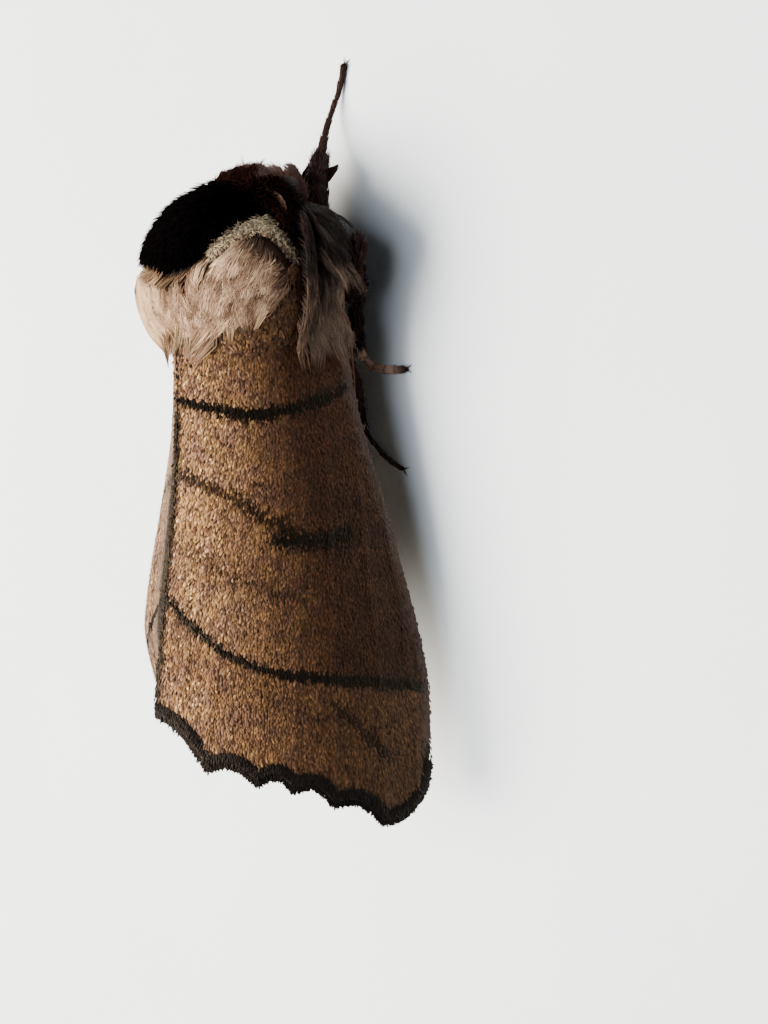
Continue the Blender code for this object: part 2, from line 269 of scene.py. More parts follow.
def placeCamera(settings):
    tilt, roll = math.radians(settings["elevation"]), math.radians(settings["roll"])
    back = Vector((-math.cos(tilt), 0, math.sin(tilt)))
    up = Vector((0, -1, 0))
    right = up.cross(back)
    rolled = Matrix.Rotation(roll, 3, back)
    right, up = rolled @ right, rolled @ up
    aim = Vector(spot(*settings["aim"]).tolist()) + settings["right"] * right + settings["up"] * up
    bpy.ops.object.camera_add()
    camera = bpy.context.object
    camera.name = "viewCamera"
    camera.data.lens = settings["lens"]
    camera.data.sensor_width = 36
    camera.data.clip_start, camera.data.clip_end = 0.01, 5
    turn = Matrix((right, up, back)).transposed().to_4x4()
    camera.matrix_world = Matrix.Translation((aim + settings["distance"] * back) * mm) @ turn
    bpy.context.scene.camera = camera


placeCamera(cameraSettings)
print("camera set")

# Body forms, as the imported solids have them
thoraxForm = {
    "radius": 4.28, "widest": 3.9, "front": 3.95, "rear": 4.4, "frontPower": 1.8,
    "rearPower": 2.2, "axis": 4.9, "neckDrop": 0.9, "bellyFlatness": 0.8,
}
wingForm = {
    "ridge": 8.65, "ridgeRise": 1.6, "slope": 34.0, "slopeLoss": 18.0, "costaSlope": 80.0,
    "costaSlopeGain": 12.0, "costaArc": 7.4, "costaGain": 4.65, "baseNarrowing": 1.4,
    "front": 4.2, "seamFront": 7.2, "innerSetback": 5.6, "toothDepth": 0.42, "apexReach": 2.5,
    "teeth": ((0.0, 21.45), (2.4, 23.6), (4.45, 24.2), (5.9, 24.5), (7.5, 25.1), (9.6, 25.9)),
    "tuckFrom": 17.5, "tuckTo": 22.5,
}
fold = {  # the left pair is folded a little further forward and under
    "right": {"advance": 0.0, "tuck": 0.0, "sink": 0.0, "slope": 0.0},
    "left": {"advance": 1.9, "tuck": 1.0, "sink": 0.2, "slope": 9.0},
}
wingEnd = wingForm["teeth"][-1][1]


def thoraxAxis(station):
    form = thoraxForm
    return form["axis"] - form["neckDrop"] * fade(station, 0, 3)


def thoraxRadius(station, rise=0.0):
    form = thoraxForm
    offset = np.asarray(station) - form["widest"]
    reach = np.where(offset < 0, form["front"], form["rear"]) + rise
    power = np.where(offset < 0, form["frontPower"], form["rearPower"])
    return (form["radius"] + rise) * hump(offset / reach, power)


def thoraxSpot(angle, station, rise=0.0):
    radius = thoraxRadius(station, rise)
    lift = radius * np.cos(angle)
    lift = np.where(lift < 0, lift * thoraxForm["bellyFlatness"], lift)
    return spot(radius * np.sin(angle), station, thoraxAxis(station) + lift)


def fullArc(station):  # arc of the costa, the wing's lower front edge, without the narrow base
    return wingForm["costaArc"] + wingForm["costaGain"] * smoothStep(station, 7, 22.3)


def costaArc(station):
    return fullArc(station) - wingForm["baseNarrowing"] * fade(station, 4, 7.5)


def innerArc(station):
    return wingForm["innerSetback"] * fade(station, wingForm["front"], wingForm["seamFront"])


def outerMargin(arc):  # station of the toothed rear edge
    arc = np.asarray(arc, float)
    teeth = np.array(wingForm["teeth"])
    share = np.clip(np.searchsorted(teeth[:, 0], arc, "right") - 1, 0, len(teeth) - 2)
    (arcA, stationA), (arcB, stationB) = teeth[share].T, teeth[share + 1].T
    along = (arc - arcA) / (arcB - arcA)
    hollow = wingForm["toothDepth"] * np.sin(np.pi * along)
    toothed = stationA + along * (stationB - stationA) - hollow
    lastArc, lastStation = teeth[-1]
    beyond = np.clip((arc - lastArc) / (costaArc(lastStation) - lastArc), 0, 1)
    rounded = lastStation - wingForm["apexReach"] * (1 - hump(beyond, 2))
    return np.where(arc < lastArc, toothed, rounded)


def wingSpot(side, arc, station, depth=0.0):
    form, folded = wingForm, fold[side]
    tucked = smoothStep(station, form["tuckFrom"], form["tuckTo"])
    first = form["slope"] - form["slopeLoss"] * smoothStep(station, 6, 17)
    first = np.radians(first + tucked * folded["slope"])
    last = np.radians(form["costaSlope"] + form["costaSlopeGain"] * smoothStep(station, 9, 18))
    bend = (last - first) / fullArc(station)
    slope = first + bend * arc
    ridge = form["ridge"] + form["ridgeRise"] * smoothStep(station, 9, 24)
    sideways = (np.sin(slope) - np.sin(first)) / bend - depth * np.sin(slope)
    height = ridge - (np.cos(first) - np.cos(slope)) / bend - depth * np.cos(slope)
    sideways = sideways - tucked * folded["tuck"]
    return spot(sideSign[side] * sideways, station, height - tucked * folded["sink"])


def wingAxes(side, arc, station):  # unit vectors: to the costa, to the rear, outward
    here, step = wingSpot(side, arc, station), 0.01
    down = unit(wingSpot(side, arc + step, station) - here)
    back = unit(wingSpot(side, arc, station + step) - here)
    return down, back, unit(np.cross(back, down) * -sideSign[side])


wingMap = {"arc": 12.3, "front": 4.5, "length": 21.8}  # what a wing's map holds


def wingPlaces(station, arc):
    return mapPlaces(arc / wingMap["arc"], (station - wingMap["front"]) / wingMap["length"])


# Wing markings and painted shade, by station and arc: the same for the membrane and for every scale
# on it
wingLines = {  # width, softness, strength and the stops that a line passes
    "antemedial": (0.36, 0.06, 1.0, ((9.1, .2), (9.36, .95), (9.59, 1.95), (9.79, 3.73), (9.5, 5.13),
                                     (9.12, 6.39), (8.77, 7.05), (8.6, 7.4))),
    "antemedialHeart": (0.5, 0.1, 1.0, ((9.56, 1.9), (9.78, 2.9), (9.8, 3.7), (9.5, 5.13),
                                        (9.14, 6.35))),
    "median": (0.36, 0.12, 0.86, ((12.06, .2), (12.28, .8), (12.7, 1.86), (13.2, 2.89),
                                  (13.85, 3.92), (14.35, 4.94), (14.97, 6.18))),
    "discal": (0.6, 0.15, 1.0, ((14.75, 4.7), (14.85, 5.9), (14.8, 6.6), (14.62, 7.4))),
    "third": (0.28, 0.2, 0.5, ((14.94, .5), (15.43, 1.44), (16.04, 2.76), (16.66, 4.02),
                               (17.09, 5.65))),
    "postmedial": (0.31, 0.05, 1.0, ((16.9, .1), (17.1, .42), (17.77, 1.1), (18.48, 2.04),
                                     (19.07, 2.92), (19.51, 3.76), (19.8, 4.57), (19.98, 5.36),
                                     (20.18, 6.75), (20.36, 8.4), (20.57, 10.22), (20.67, 11.41),
                                     (20.7, 12.2))),
    "postmedialOuter": (0.42, 0.06, 1.0, ((20.0, 5.4), (20.18, 6.75), (20.36, 8.4), (20.57, 10.22),
                                          (20.67, 11.41), (20.7, 12.2))),
    "apical": (0.27, 0.13, 0.85, ((21.21, 7.41), (21.92, 8.25), (22.74, 9.1), (23.49, 9.77))),
    "basal": (0.22, 0.15, 0.7, ((5.64, 3.7), (5.3, 4.3), (5.01, 4.91))),
}
wingTints = {"borderWidth": 0.5, "costaWidth": 0.5, "grazingLightTintArc": 2.0,
             "seamShadow": {"right": 0.42, "left": 0.8}}


def lineDistance(station, arc, stops):
    here = np.stack([station, arc], -1)
    nearest = np.full(len(here), 99.0)
    for a, b in zip(np.array(stops[:-1]), np.array(stops[1:])):
        share = np.clip(((here - a) @ (b - a)) / ((b - a) @ (b - a)), 0, 1)
        nearest = np.minimum(nearest, np.linalg.norm(here - a - share[:, None] * (b - a), axis=1))
    return nearest


def wingMarks(side, station, arc, jitter):
    inkAndSeamShadow = np.zeros(len(station))
    for width, softness, strength, stops in wingLines.values():
        away = lineDistance(station, arc, stops) + jitter * softness
        weight = strength * fade(away, width / 2 - softness / 2, width / 2 + softness)
        inkAndSeamShadow = np.maximum(inkAndSeamShadow, weight)
    # painted shadow: each wing is inked dark along its ridge for the shadow in the groove where the
    # two wings meet
    seamShadow = wingTints["seamShadow"][side]  # dark where the two wings meet
    inkAndSeamShadow = np.maximum(inkAndSeamShadow, 0.95 * fade(arc, seamShadow * 0.45, seamShadow) * smoothStep(station, 8, 10))
    edgeArcs = np.linspace(0, costaArc(wingEnd), 160)
    margin = list(zip(outerMargin(edgeArcs) - fold[side]["advance"], edgeArcs))
    toMargin = lineDistance(station, arc, margin) + 0.05 * jitter
    toCosta = costaArc(station) - arc + 0.1 * jitter
    lineStations, lineArcs = zip(*wingLines["postmedial"][3])
    # the outer field
    beyond = smoothStep(station - np.interp(arc, lineArcs, lineStations), 0.0, 0.4)
    return {
        "inkAndSeamShadow": inkAndSeamShadow,
        "border": within(toMargin, wingTints["borderWidth"], 0.08),
        "costal": within(toCosta, wingTints["costaWidth"], 0.15),
        # painted shade: darker and purpler towards the costa, the steep side turned away from the
        # light, a little less in the outer field
        "paintedShade": smoothStep(arc / costaArc(station), 0.06, 0.7) * (1 - 0.25 * beyond),
        # darker towards the rear partly as painted shade, where the flatter rear of the wing would
        # catch more light; beyond the postmedial line, the outer field's own cooler colour
        "outer": 0.3 * smoothStep(station, 11, 15) + 0.7 * beyond,
        # painted light and shade: the left wing alone is tinted an even greyish brown near its
        # ridge, for the strip beside the seam that the light grazes
        "grazingLightTint": (side == "left") * fade(arc, 0.8, wingTints["grazingLightTintArc"]),
    }


# Wing scales. Chitin scales lie like roof tiles: a satin skin of tawny grains, no two quite
# alike, clouded with fresh gold and worn rosy patches, that glints where a tile faces the light.
def wingMaterial(name, tones, grainScale, grainDepth, gloss=0.12):
    material, tree, shader = newMaterial(name, {
        "Roughness": 0.42, "IOR": 1.56, "Specular IOR Level": gloss,
        "Specular Tint": linear("#ffe2bc"), "Sheen Weight": 0.03, "Sheen Roughness": 0.4,
        "Sheen Tint": linear("#f0d8c0"),
    })
    place = objectPlace(tree)
    colour = addNode(tree, "ValToRGB", {"stops": tones}, {"Fac": attribute(tree, "tone")})
    cloud = addNode(tree, "TexNoise", {"Scale": 420.0, "Detail": 3.0}, {"Vector": place})
    cloudy = addNode(tree, "MapRange", {"From Min": 0.3, "From Max": 0.7, "To Min": 1.1,
                                        "To Max": 1.5}, {"Value": cloud})
    worn = addNode(tree, "TexNoise", {"Scale": 1400.0, "Detail": 2.0}, {"Vector": place})
    wornTones = addNode(tree, "ValToRGB", {"stops": ((0.38, "#f8efcb"), (0.62, "#bcb0c0"))},
                        {"Fac": worn})
    for other, share in ((cloudy, 1.0), (wornTones, 0.7)):
        colour = addNode(tree, "MixRGB", {"blend_type": "MULTIPLY", "Fac": share},
                         {"Color1": colour, "Color2": other})
    colour = tinted(tree, colour, (
        # painted shade towards the costa; then painted shade on the rear half, with the outer
        # field's own cooler colour
        ("paintedShade", "#523d44", 0.96, "MULTIPLY"), ("outer", "#c6c0bd", 0.9, "MULTIPLY"),
        # the left wing's ridge strip gets painted light and shade; the ink layer also carries the
        # painted shadow along the seam
        ("grazingLightTint", "#5a4a3e", 0.8), ("inkAndSeamShadow", "#030202", 1.0), ("costal", "#3d3330", 0.75),
        # the pale fringe tips are partly a painted highlight
        ("border", "#080709", 1.0), ("tip", "#4a4340", 0.35), ("under", "#a5917c", 0.9),
    ))
    linkTo(tree, shader, {"Base Color": colour})
    addGrain(tree, shader, grainScale, (0.3, 0.62), 0.5, grainDepth)
    return material


tawny = ((0.0, "#33241b"), (1.0, "#e0c096"), (0.3, "#664c38"), (0.6, "#8f6e50"), (0.85, "#ad8a66"))
straw = ((0.0, "#8a7458"), (1.0, "#d3c0a0"), (0.5, "#b7a184"))
scaleMaterial = wingMaterial("tawny chitin scales", tawny, 9000.0, 0.01)
fringeMaterial = wingMaterial("soot black fringe scales", tawny, 9000.0, 0.01, 0.05)
membraneMaterial = wingMaterial("scaled wing membrane", tawny, 6000.0, 0.03)
hindwingMaterial = wingMaterial("straw coloured hindwing scales", straw, 5000.0, 0.03)

membrane = {"columns": 96, "rows": 150, "depth": 0.12, "thickness": 0.26, "marginInset": 0.08,
            "edgeGap": 0.12, "innerGap": 0.04, "tone": 0.35,
            "darkRim": (0.42, 0.28)}  # from the rear edge, on the lower face
veins = {"height": 0.05, "width": 0.16, "root": 4.6, "ends": (1.0, 2.4, 4.45, 5.9, 7.5, 9.6, 11.2)}


def veinRelief(station, arc):  # low ridges that fan out from the wing base to the teeth
    share = smoothStep(station, 3.0, 24.5)
    relief = np.zeros(len(station))
    for end in veins["ends"]:
        line = veins["root"] + (end - veins["root"]) * (0.35 + 0.65 * share)
        relief = np.maximum(relief, bell(arc - line, veins["width"]))
    return veins["height"] * relief * smoothStep(station, 8, 14)


def shapeSheet(name, form, place, outward):
    # a grid laid over the wing's form and given its thickness inward
    obj = addPrimitive(name, bpy.ops.mesh.primitive_grid_add, x_subdivisions=form["columns"],
                       y_subdivisions=form["rows"], size=2)
    flat = pointsOf(obj.data)
    points, marks = place((flat[:, 0] + 1) / 2, (flat[:, 1] + 1) / 2)
    fringed = marks.pop("fringed", 0)
    movePoints(obj.data, points * mm)
    setMarks(obj.data, marks)
    if outward * sum(p.normal.x * p.area for p in obj.data.polygons) < 0:
        turnFaces(obj.data, outward=False)
    top = len(obj.data.vertices)
    solidify = obj.modifiers.new("thickness", "SOLIDIFY")
    solidify.thickness = form["thickness"] * mm
    solidify.offset = -1
    applyAll(obj)
    under = np.zeros(len(obj.data.vertices))
    under[top:] = 1 - fringed
    setMarks(obj.data, {"under": under})
    obj.data.shade_smooth()
    return obj


def forewingMembrane(side):
    form = membrane

    def place(across, along):
        rear = outerMargin(across * costaArc(wingEnd)) - fold[side]["advance"] - form["marginInset"]
        station = wingForm["front"] + along * (rear - wingForm["front"])
        inner = innerArc(station) + form["innerGap"]
        arc = inner + across * (costaArc(station) - form["edgeGap"] - inner)
        marks = wingMarks(side, station, arc, np.zeros(len(arc)))
        marks["tone"] = np.full(len(arc), form["tone"])
        marks["fringed"] = smoothStep(station, *(rear - gap for gap in form["darkRim"]))
        return wingSpot(side, arc, station, form["depth"] - veinRelief(station, arc)), marks

    obj = shapeSheet("forewingMembrane_" + side, form, place, sideSign[side])
    return finishPiece(obj, membraneMaterial, "wing_scales", ["forewing_" + side])


hindwingSheet = {"columns": 40, "rows": 60, "depth": 0.75, "thickness": 0.24, "front": 6.8,
                 "rear": 20.5, "ridgeGap": 1.25, "costaGap": 0.9, "pleats": 34, "pleatDepth": 0.05}


def hindwingMembrane(side):
    form = hindwingSheet

    def place(across, along):
        length = form["rear"] - fold[side]["advance"] - form["front"]
        rear = form["front"] + length * (0.82 + 0.18 * hump(2 * across - 1, 3))
        station = form["front"] + along * (rear - form["front"])
        inner, outer = form["ridgeGap"], costaArc(station) - form["costaGap"]
        arc = inner + across * (outer - inner)
        pleated = np.sin(across * form["pleats"])
        pleat = form["pleatDepth"] * pleated * smoothStep(along, 0.1, 0.6)
        # painted shade, darker towards the costa as on the forewing
        marks = {"tone": 0.45 + 0.3 * pleated, "paintedShade": 0.25 * across}
        return wingSpot(side, arc, station, form["depth"] + pleat), marks

    obj = shapeSheet("hindwingMembrane_" + side, form, place, sideSign[side])
    return finishPiece(obj, hindwingMaterial, "hindwing_scales", ["hindwing_" + side])


for side in sideSign:
    forewingMembrane(side)
    hindwingMembrane(side)
print("wing membranes done")


# Scales: one is modelled and copied on to every root
def modelScale():
    # a thin blade, narrow at its root and with a toothed tip; length and width are 1
    obj = addPrimitive("scale", bpy.ops.mesh.primitive_cone_add, vertices=5, radius1=0.5, depth=0.06)
    bpy.ops.object.mode_set(mode="EDIT")
    bpy.ops.mesh.select_all(action="SELECT")
    bpy.ops.mesh.quads_convert_to_tris()
    bpy.ops.object.mode_set(mode="OBJECT")
    outline = ((.5, .62), (.24, 1.0), (-.28, .95), (-.5, .6), (0, 0))
    points = pointsOf(obj.data)
    radius = np.hypot(points[:, 0], points[:, 1])
    ring = [i for i in range(len(points)) if radius[i] > 0.1]
    ring.sort(key=lambda i: math.atan2(points[i, 1], points[i, 0]) % (2 * math.pi))
    for i, (x, y) in zip(ring, outline):
        points[i] = (x, y, 0)
    for i in np.flatnonzero(radius <= 0.1):  # the blade's crown and its flat back
        points[i] = (0, 0.62, 0.055 if points[i, 2] > 0 else -0.015)
    movePoints(obj.data, points)
    turnFaces(obj.data)
    triangles = np.array([p.vertices[:] for p in obj.data.polygons])
    bpy.data.objects.remove(obj)
    return points, triangles


scalePoints, scaleTriangles = modelScale()


def tileScales(name, slotName, material, roots, axes, width, length, marks, places):
    count, sizes = len(scalePoints), (width, length, length)
    parts = sum(axis[:, None] * (scalePoints[:, i, None] * sizes[i][:, None, None])
                for i, axis in enumerate(axes))
    points = (roots[:, None] + parts).reshape(-1, 3)
    triangles = (scaleTriangles + count * np.arange(len(roots))[:, None, None]).reshape(-1, 3)
    if np.linalg.det(np.stack([axis[0] for axis in axes])) < 0:
        triangles = triangles[:, ::-1]
    obj = meshFromArrays(name, points, triangles)
    setMarks(obj.data, {key: np.repeat(values, count) for key, values in marks.items()})
    setBakeMap(obj.data, places, scalePoints[:, :2] - (0, 0.5))
    obj.data.shade_flat()
    return finishPiece(obj, material, slotName)


def turned(across, along, out, turn, tilt):
    ahead = swing(along, across, turn)
    return swing(across, -along, turn), swing(ahead, out, tilt), swing(out, -ahead, tilt)


wingTiles = {
    "front": 4.2, "row": 0.092, "rowSpread": 0.022, "firstArc": 0.03, "lastArc": 12.1,
    "column": 0.086, "columnSpread": 0.018, "length": 0.205, "width": 0.086, "tilt": 8.0,
    "tiltSpread": 6.0, "tiltLimits": (1, 26), "turnSpread": 11.0, "depth": 0.11, "marginGap": 0.26,
    "tone": (0.46, 0.22, 0.95), "evenTone": 0.4, "blackShare": 0.026, "paleShare": 0.015,
    "fanArc": 4.6, "fanStation": -6.0,  # the point that the scales' directions fan out from
}


def forewingScales(side):
    tiles = wingTiles
    stations = np.arange(tiles["front"], wingEnd, tiles["row"])
    arcs = np.arange(tiles["firstArc"], tiles["lastArc"], tiles["column"])
    station, arc = [grid.ravel() for grid in np.meshgrid(stations, arcs, indexing="ij")]
    row = np.round((station - tiles["front"]) / tiles["row"]).astype(int)
    arc = arc + tiles["column"] * 0.5 * (row % 2)
    station = station + chance.normal(0, tiles["rowSpread"], len(station))
    arc = arc + chance.normal(0, tiles["columnSpread"], len(arc))
    margin = outerMargin(np.clip(arc, 0, costaArc(wingEnd))) - fold[side]["advance"]
    kept = ((station < margin - tiles["marginGap"]) & (arc > innerArc(station) + 0.02)
            & (arc < costaArc(station) - 0.1) & (arc > 0.02))
    station, arc = station[kept], arc[kept]
    count = len(arc)
    marks = wingMarks(side, station + tiles["length"] * 0.7, arc, chance.normal(0, 1, count))
    tone = randomTones(count, *tiles["tone"])
    dot = chance.random(count)
    # under the painted shade of the costal half the tones are evened and the pale specks dulled
    tone = tone + (tiles["evenTone"] - tone) * 0.5 * marks["paintedShade"]  # the costal half is more even
    marks["tone"] = np.where(dot > 1 - tiles["paleShare"], 1.0 - 0.4 * marks["paintedShade"], tone)
    marks["inkAndSeamShadow"] = np.maximum(marks["inkAndSeamShadow"], 0.85 * (dot < tiles["blackShare"]))
    roots = wingSpot(side, arc, station, tiles["depth"] - veinRelief(station, arc))
    fan = np.arctan((arc - tiles["fanArc"]) / (station - tiles["fanStation"]))
    fan = fan + np.radians(chance.normal(0, tiles["turnSpread"], count))
    tilt = np.radians(np.clip(chance.normal(tiles["tilt"], tiles["tiltSpread"], count),
                              *tiles["tiltLimits"]))
    tilt = tilt * (1 - 0.8 * np.maximum(marks["grazingLightTint"], marks["costal"]))
    axes = turned(*wingAxes(side, arc, station), fan, tilt)
    size = chance.normal(1, 0.1, count)
    return tileScales("forewingScales_" + side, "wing_scales", scaleMaterial, roots, axes,
                      tiles["width"] * size, tiles["length"] * size, marks, wingPlaces(station, arc))


fringe = {  # layers: how far inside the margin, length, paleness and depth
    "spacing": 0.032, "width": 0.085, "spacingSpread": 0.01, "insetSpread": 0.035,
    "turnSpread": 6, "tilt": (1, 3), "hollows": 2.9,
    "layers": ((0.50, 0.26, 0.0, 0.05), (0.40, 0.3, 0.0, 0.05), (0.30, 0.34, 0.0, 0.16),
               (0.20, 0.34, 0.3, 0.19), (0.12, 0.3, 0.75, 0.235)),
}


def forewingFringe(side):
    # longer scales that stand out past the toothed margin, paler in the hollows: partly the fringe's
    # own paler ends, partly a painted highlight along its edge
    edge = np.linspace(0.0, costaArc(wingEnd) - 0.02, 1400)
    line = np.stack([outerMargin(edge) - fold[side]["advance"], edge], 1)
    run = np.concatenate([[0], np.cumsum(np.linalg.norm(np.diff(line, axis=0), axis=1))])
    layers = []
    for inset, *rest in fringe["layers"]:
        at = np.arange(0.02, run[-1], fringe["spacing"])
        at = at + chance.normal(0, fringe["spacingSpread"], len(at))
        station, arc = np.interp(at, run, line[:, 0]), np.interp(at, run, line[:, 1])
        ahead = np.gradient(np.stack([station, arc], 1), axis=0)
        ahead = unit(np.stack([ahead[:, 1], -ahead[:, 0]], 1))  # across the edge, outward
        ahead = unit(0.75 * ahead + 0.45 * np.array([1.0, 0.0]))
        inset = inset + chance.normal(0, fringe["insetSpread"], len(at))
        station, arc = station - ahead[:, 0] * inset, np.maximum(arc - ahead[:, 1] * inset, 0.02)
        layers.append((station, arc, ahead, *[np.full(len(at), value) for value in rest]))
    station, arc, ahead, length, pale, depth = [np.concatenate(column) for column in zip(*layers)]
    count = len(arc)
    turn = np.arctan2(ahead[:, 1], ahead[:, 0])
    turn = turn + np.radians(chance.normal(0, fringe["turnSpread"], count))
    tilt = np.radians(chance.normal(*fringe["tilt"], count))
    axes = turned(*wingAxes(side, arc, station), turn, tilt)
    size = chance.normal(1, 0.07, count)
    hollow = 0.5 + 0.5 * np.sin(arc * fringe["hollows"] + 1.0)
    marks = {"tone": randomTones(count, 0.4, 0.2), "border": np.ones(count),
             "tip": np.clip(0.8 * pale * hollow + chance.normal(0, 0.15, count), 0, 1)
                    * (pale > 0.5)}
    roots = wingSpot(side, arc, station, depth)
    return tileScales("forewingFringe_" + side, "wing_scales", fringeMaterial, roots, axes,
                      fringe["width"] * size, length * size, marks, wingPlaces(station, arc))


for side in sideSign:
    scales = forewingScales(side)
    forewingFringe(side)
    print("forewing scales,", side, len(scales.data.polygons), "triangles")


# Body colours, by angle and station: the same for the skin and for every hair rooted in it
patchRear = {  # rear edge of the black patch, as degrees and station
    "right": ((0, 4.1), (12, 4.0), (22, 3.7), (30, 3.2), (36, 2.8), (43, 2.45), (52, 2.15),
              (61, 1.95), (68, 2.12), (74, 2.46), (80, 3.0), (86, 3.6), (100, 3.8)),
    "left": ((0, 4.1), (8, 3.8), (25, 3.55), (45, 3.4), (58, 3.0), (68, 2.6), (74, 2.6), (80, 3.0),
             (100, 3.8)),
}
patchFront = ((0, 0.35), (24, 0.64), (48, 1.06), (63, 1.7), (74, 2.02), (80, 2.28), (90, 2.4))
rimWidth = 0.66
thoraxBorders = {  # degrees round the thorax or, for the last, stations, where a marking sets in
    "rim": (24, 36), "slit": (64, 72), "flank": (80, 88), "belly": (118, 135),
    "frontFlank": (2.7, 3.3),
}
# painted shade: a dark slit in the bare strip behind the patch, between rim and mane, for the shadow
# in that parting
slitPlace, slitWidth = 0.75, 0.2  # behind the patch, between rim and mane
darkSpot = {"degrees": -14, "station": 6.1, "perRadian": 3.4, "size": (0.1, 0.28)}


def patchEdge(angle):  # angles to the moth's right are negative
    right, left = [np.interp(np.abs(np.degrees(angle)), *zip(*patchRear[side])) for side in sideSign]
    return np.where(angle > 0, left, right)


def thoraxMarks(angle, station, jitter):
    degrees = np.abs(np.degrees(angle))
    rear, front = patchEdge(angle), np.interp(degrees, *zip(*patchFront))
    borders = thoraxBorders
    flank = smoothStep(degrees + 3 * jitter, *borders["flank"])
    dark = within(station + 0.06 * jitter, rear, 0.08) * (1 - flank)
    behind = station - rear
    rim = smoothStep(degrees, *borders["rim"]) * (1 - flank) * (1 - dark)
    slit = bell(behind - slitPlace, slitWidth) * smoothStep(degrees, *borders["slit"]) * (1 - flank)
    spotTurn = angle - math.radians(darkSpot["degrees"])
    spotAway = np.hypot(spotTurn * darkSpot["perRadian"], station - darkSpot["station"])
    return {
        "dark": dark,
        "rust": dark * fade(station + 0.08 * jitter, front - 0.1, front + 0.15),
        "rim": rim * fade(behind, rimWidth * 0.7, rimWidth),
        "grey": flank * fade(degrees, *borders["belly"]),
        "frontFlank": flank * fade(station, *borders["frontFlank"]),
        "belly": smoothStep(degrees, *borders["belly"]),
        # painted shade in the slit, and a small dark spot
        "gap": np.maximum(slit, fade(spotAway, *darkSpot["size"])),
    }


def hairMaterial(name, stops, layers, roughness=0.6, sheen=0.02, gloss=0.08):
    # fine hair-like scales: matt and soft, a little paler towards the tips
    material, tree, shader = newMaterial(name, {
        "Roughness": roughness, "IOR": 1.55, "Specular IOR Level": gloss,
        "Sheen Weight": sheen, "Sheen Roughness": 0.35, "Sheen Tint": linear("#f2e2d2"),
    })
    lighter = addNode(tree, "Math", {"operation": "MULTIPLY_ADD", 1: 0.2},
                      {0: attribute(tree, "along"), 2: attribute(tree, "tone")})
    colour = tinted(tree, addNode(tree, "ValToRGB", {"stops": stops}, {"Fac": lighter}), layers)
    linkTo(tree, shader, {"Base Color": colour})
    addGrain(tree, shader, 7000.0, (roughness - 0.12, roughness + 0.15), 0.6, 0.02)
    return material


pinkishTan = ((0.0, "#1c110b"), (1.0, "#bfa485"), (0.25, "#422e22"), (0.5, "#6b513e"),
              (0.75, "#8c7059"))
furMaterial = hairMaterial("hair scales of the body", pinkishTan, (
    ("belly", "#75634f", 0.85), ("grey", "#54443a", 0.88), ("frontFlank", "#150e0d", 0.94),
    # the cream layer is painted light on the mane's lit left side
    ("rim", "#a3967b", 0.72), ("litSideCream", "#997d5c", 0.55), ("dark", "#050304", 1.0),
    ("rust", "#271713", 0.85), ("face", "#4a322a", 1.0), ("pink", "#685450", 0.95),
    # the gap layer is painted shade in the slit behind the patch, and a small dark spot
    ("vertex", "#45281b", 0.95), ("gap", "#1c120f", 0.9),
))
# deep velvet: no gloss or sheen at all, so that it stays black in any light
blackish = ((0.0, "#020101"), (1.0, "#080506"), (0.5, "#030202"))
velvetMaterial = hairMaterial("black velvet scales", blackish, (
    ("rust", "#251410", 0.9), ("flank", "#1d1513", 0.9)), 0.9, 0.0, 0.0)

headLow, headHigh = [Vector(corner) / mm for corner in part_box("head")]
headForm = {
    "middle": (0.0, (headLow.y + headHigh.y) / 2 - stationZero, (headLow.z + headHigh.z) / 2),
    "size": (1.75, (headHigh.y - headLow.y) / 2, (headHigh.z - headLow.z) / 2),
}
abdomenForm = {"middle": 13.4, "half": 6.7, "radius": 2.45, "power": 2.5, "axis": 3.65,
               "segmentsFrom": 7.0, "segment": 1.9, "segmentDepth": 0.025}
bodySkin = {"thoraxCoat": 0.5, "headCoat": 0.22, "abdomenCoat": 0.25, "voxel": 0.11}


def headSpot(way, rise):  # way: unit vectors as sideways, backward and up
    return spot(*(way * (np.array(headForm["size"]) + rise) + headForm["middle"]).T)


def abdomenRadius(station, rise=0.0):
    form = abdomenForm
    share = (station - form["middle"]) / (form["half"] + rise)
    ring = np.abs(np.sin((station - form["segmentsFrom"]) * math.pi / form["segment"]))
    ring = (1 + form["segmentDepth"] * ring) / (1 + form["segmentDepth"])
    return (form["radius"] + rise) * hump(np.clip(share, -1, 1), form["power"]) * ring


def abdomenSpot(angle, station, rise=0.0):
    radius = abdomenRadius(station, rise)
    return spot(radius * np.sin(angle), station, abdomenForm["axis"] + radius * np.cos(angle))


def surfaceAxes(place, angle, station, away):
    # unit vectors round the body, to the rear and outward; away leads to the roots from the axis
    here, step = place(angle, station), 0.01
    across = unit(place(angle + step, station) - here)
    back = unit(place(angle, station + step) - here)
    out = unit(np.cross(across, back))
    return across, back, out * np.sign((away * out).sum(1))[:, None]


def thoraxAxes(angle, station, roots):
    along = roots[:, 1] - stationZero
    return surfaceAxes(thoraxSpot, angle, station, roots - spot(0, along, thoraxAxis(along)))


def shapedBall(name, segments, rings, place):  # place turns unit vectors, +Z to the rear, to points
    obj = addPrimitive(name, bpy.ops.mesh.primitive_uv_sphere_add, segments=segments,
                       ring_count=rings, radius=1)
    movePoints(obj.data, place(pointsOf(obj.data)) * mm)
    turnFaces(obj.data)
    return obj


def thoraxBall(way):
    form, depth = thoraxForm, -bodySkin["thoraxCoat"]
    reach = np.where(way[:, 2] < 0, form["front"], form["rear"]) + depth
    return thoraxSpot(np.arctan2(way[:, 0], way[:, 1]), form["widest"] + way[:, 2] * reach, depth)


def headBall(way):
    return headSpot(way[:, [0, 2, 1]], -bodySkin["headCoat"])


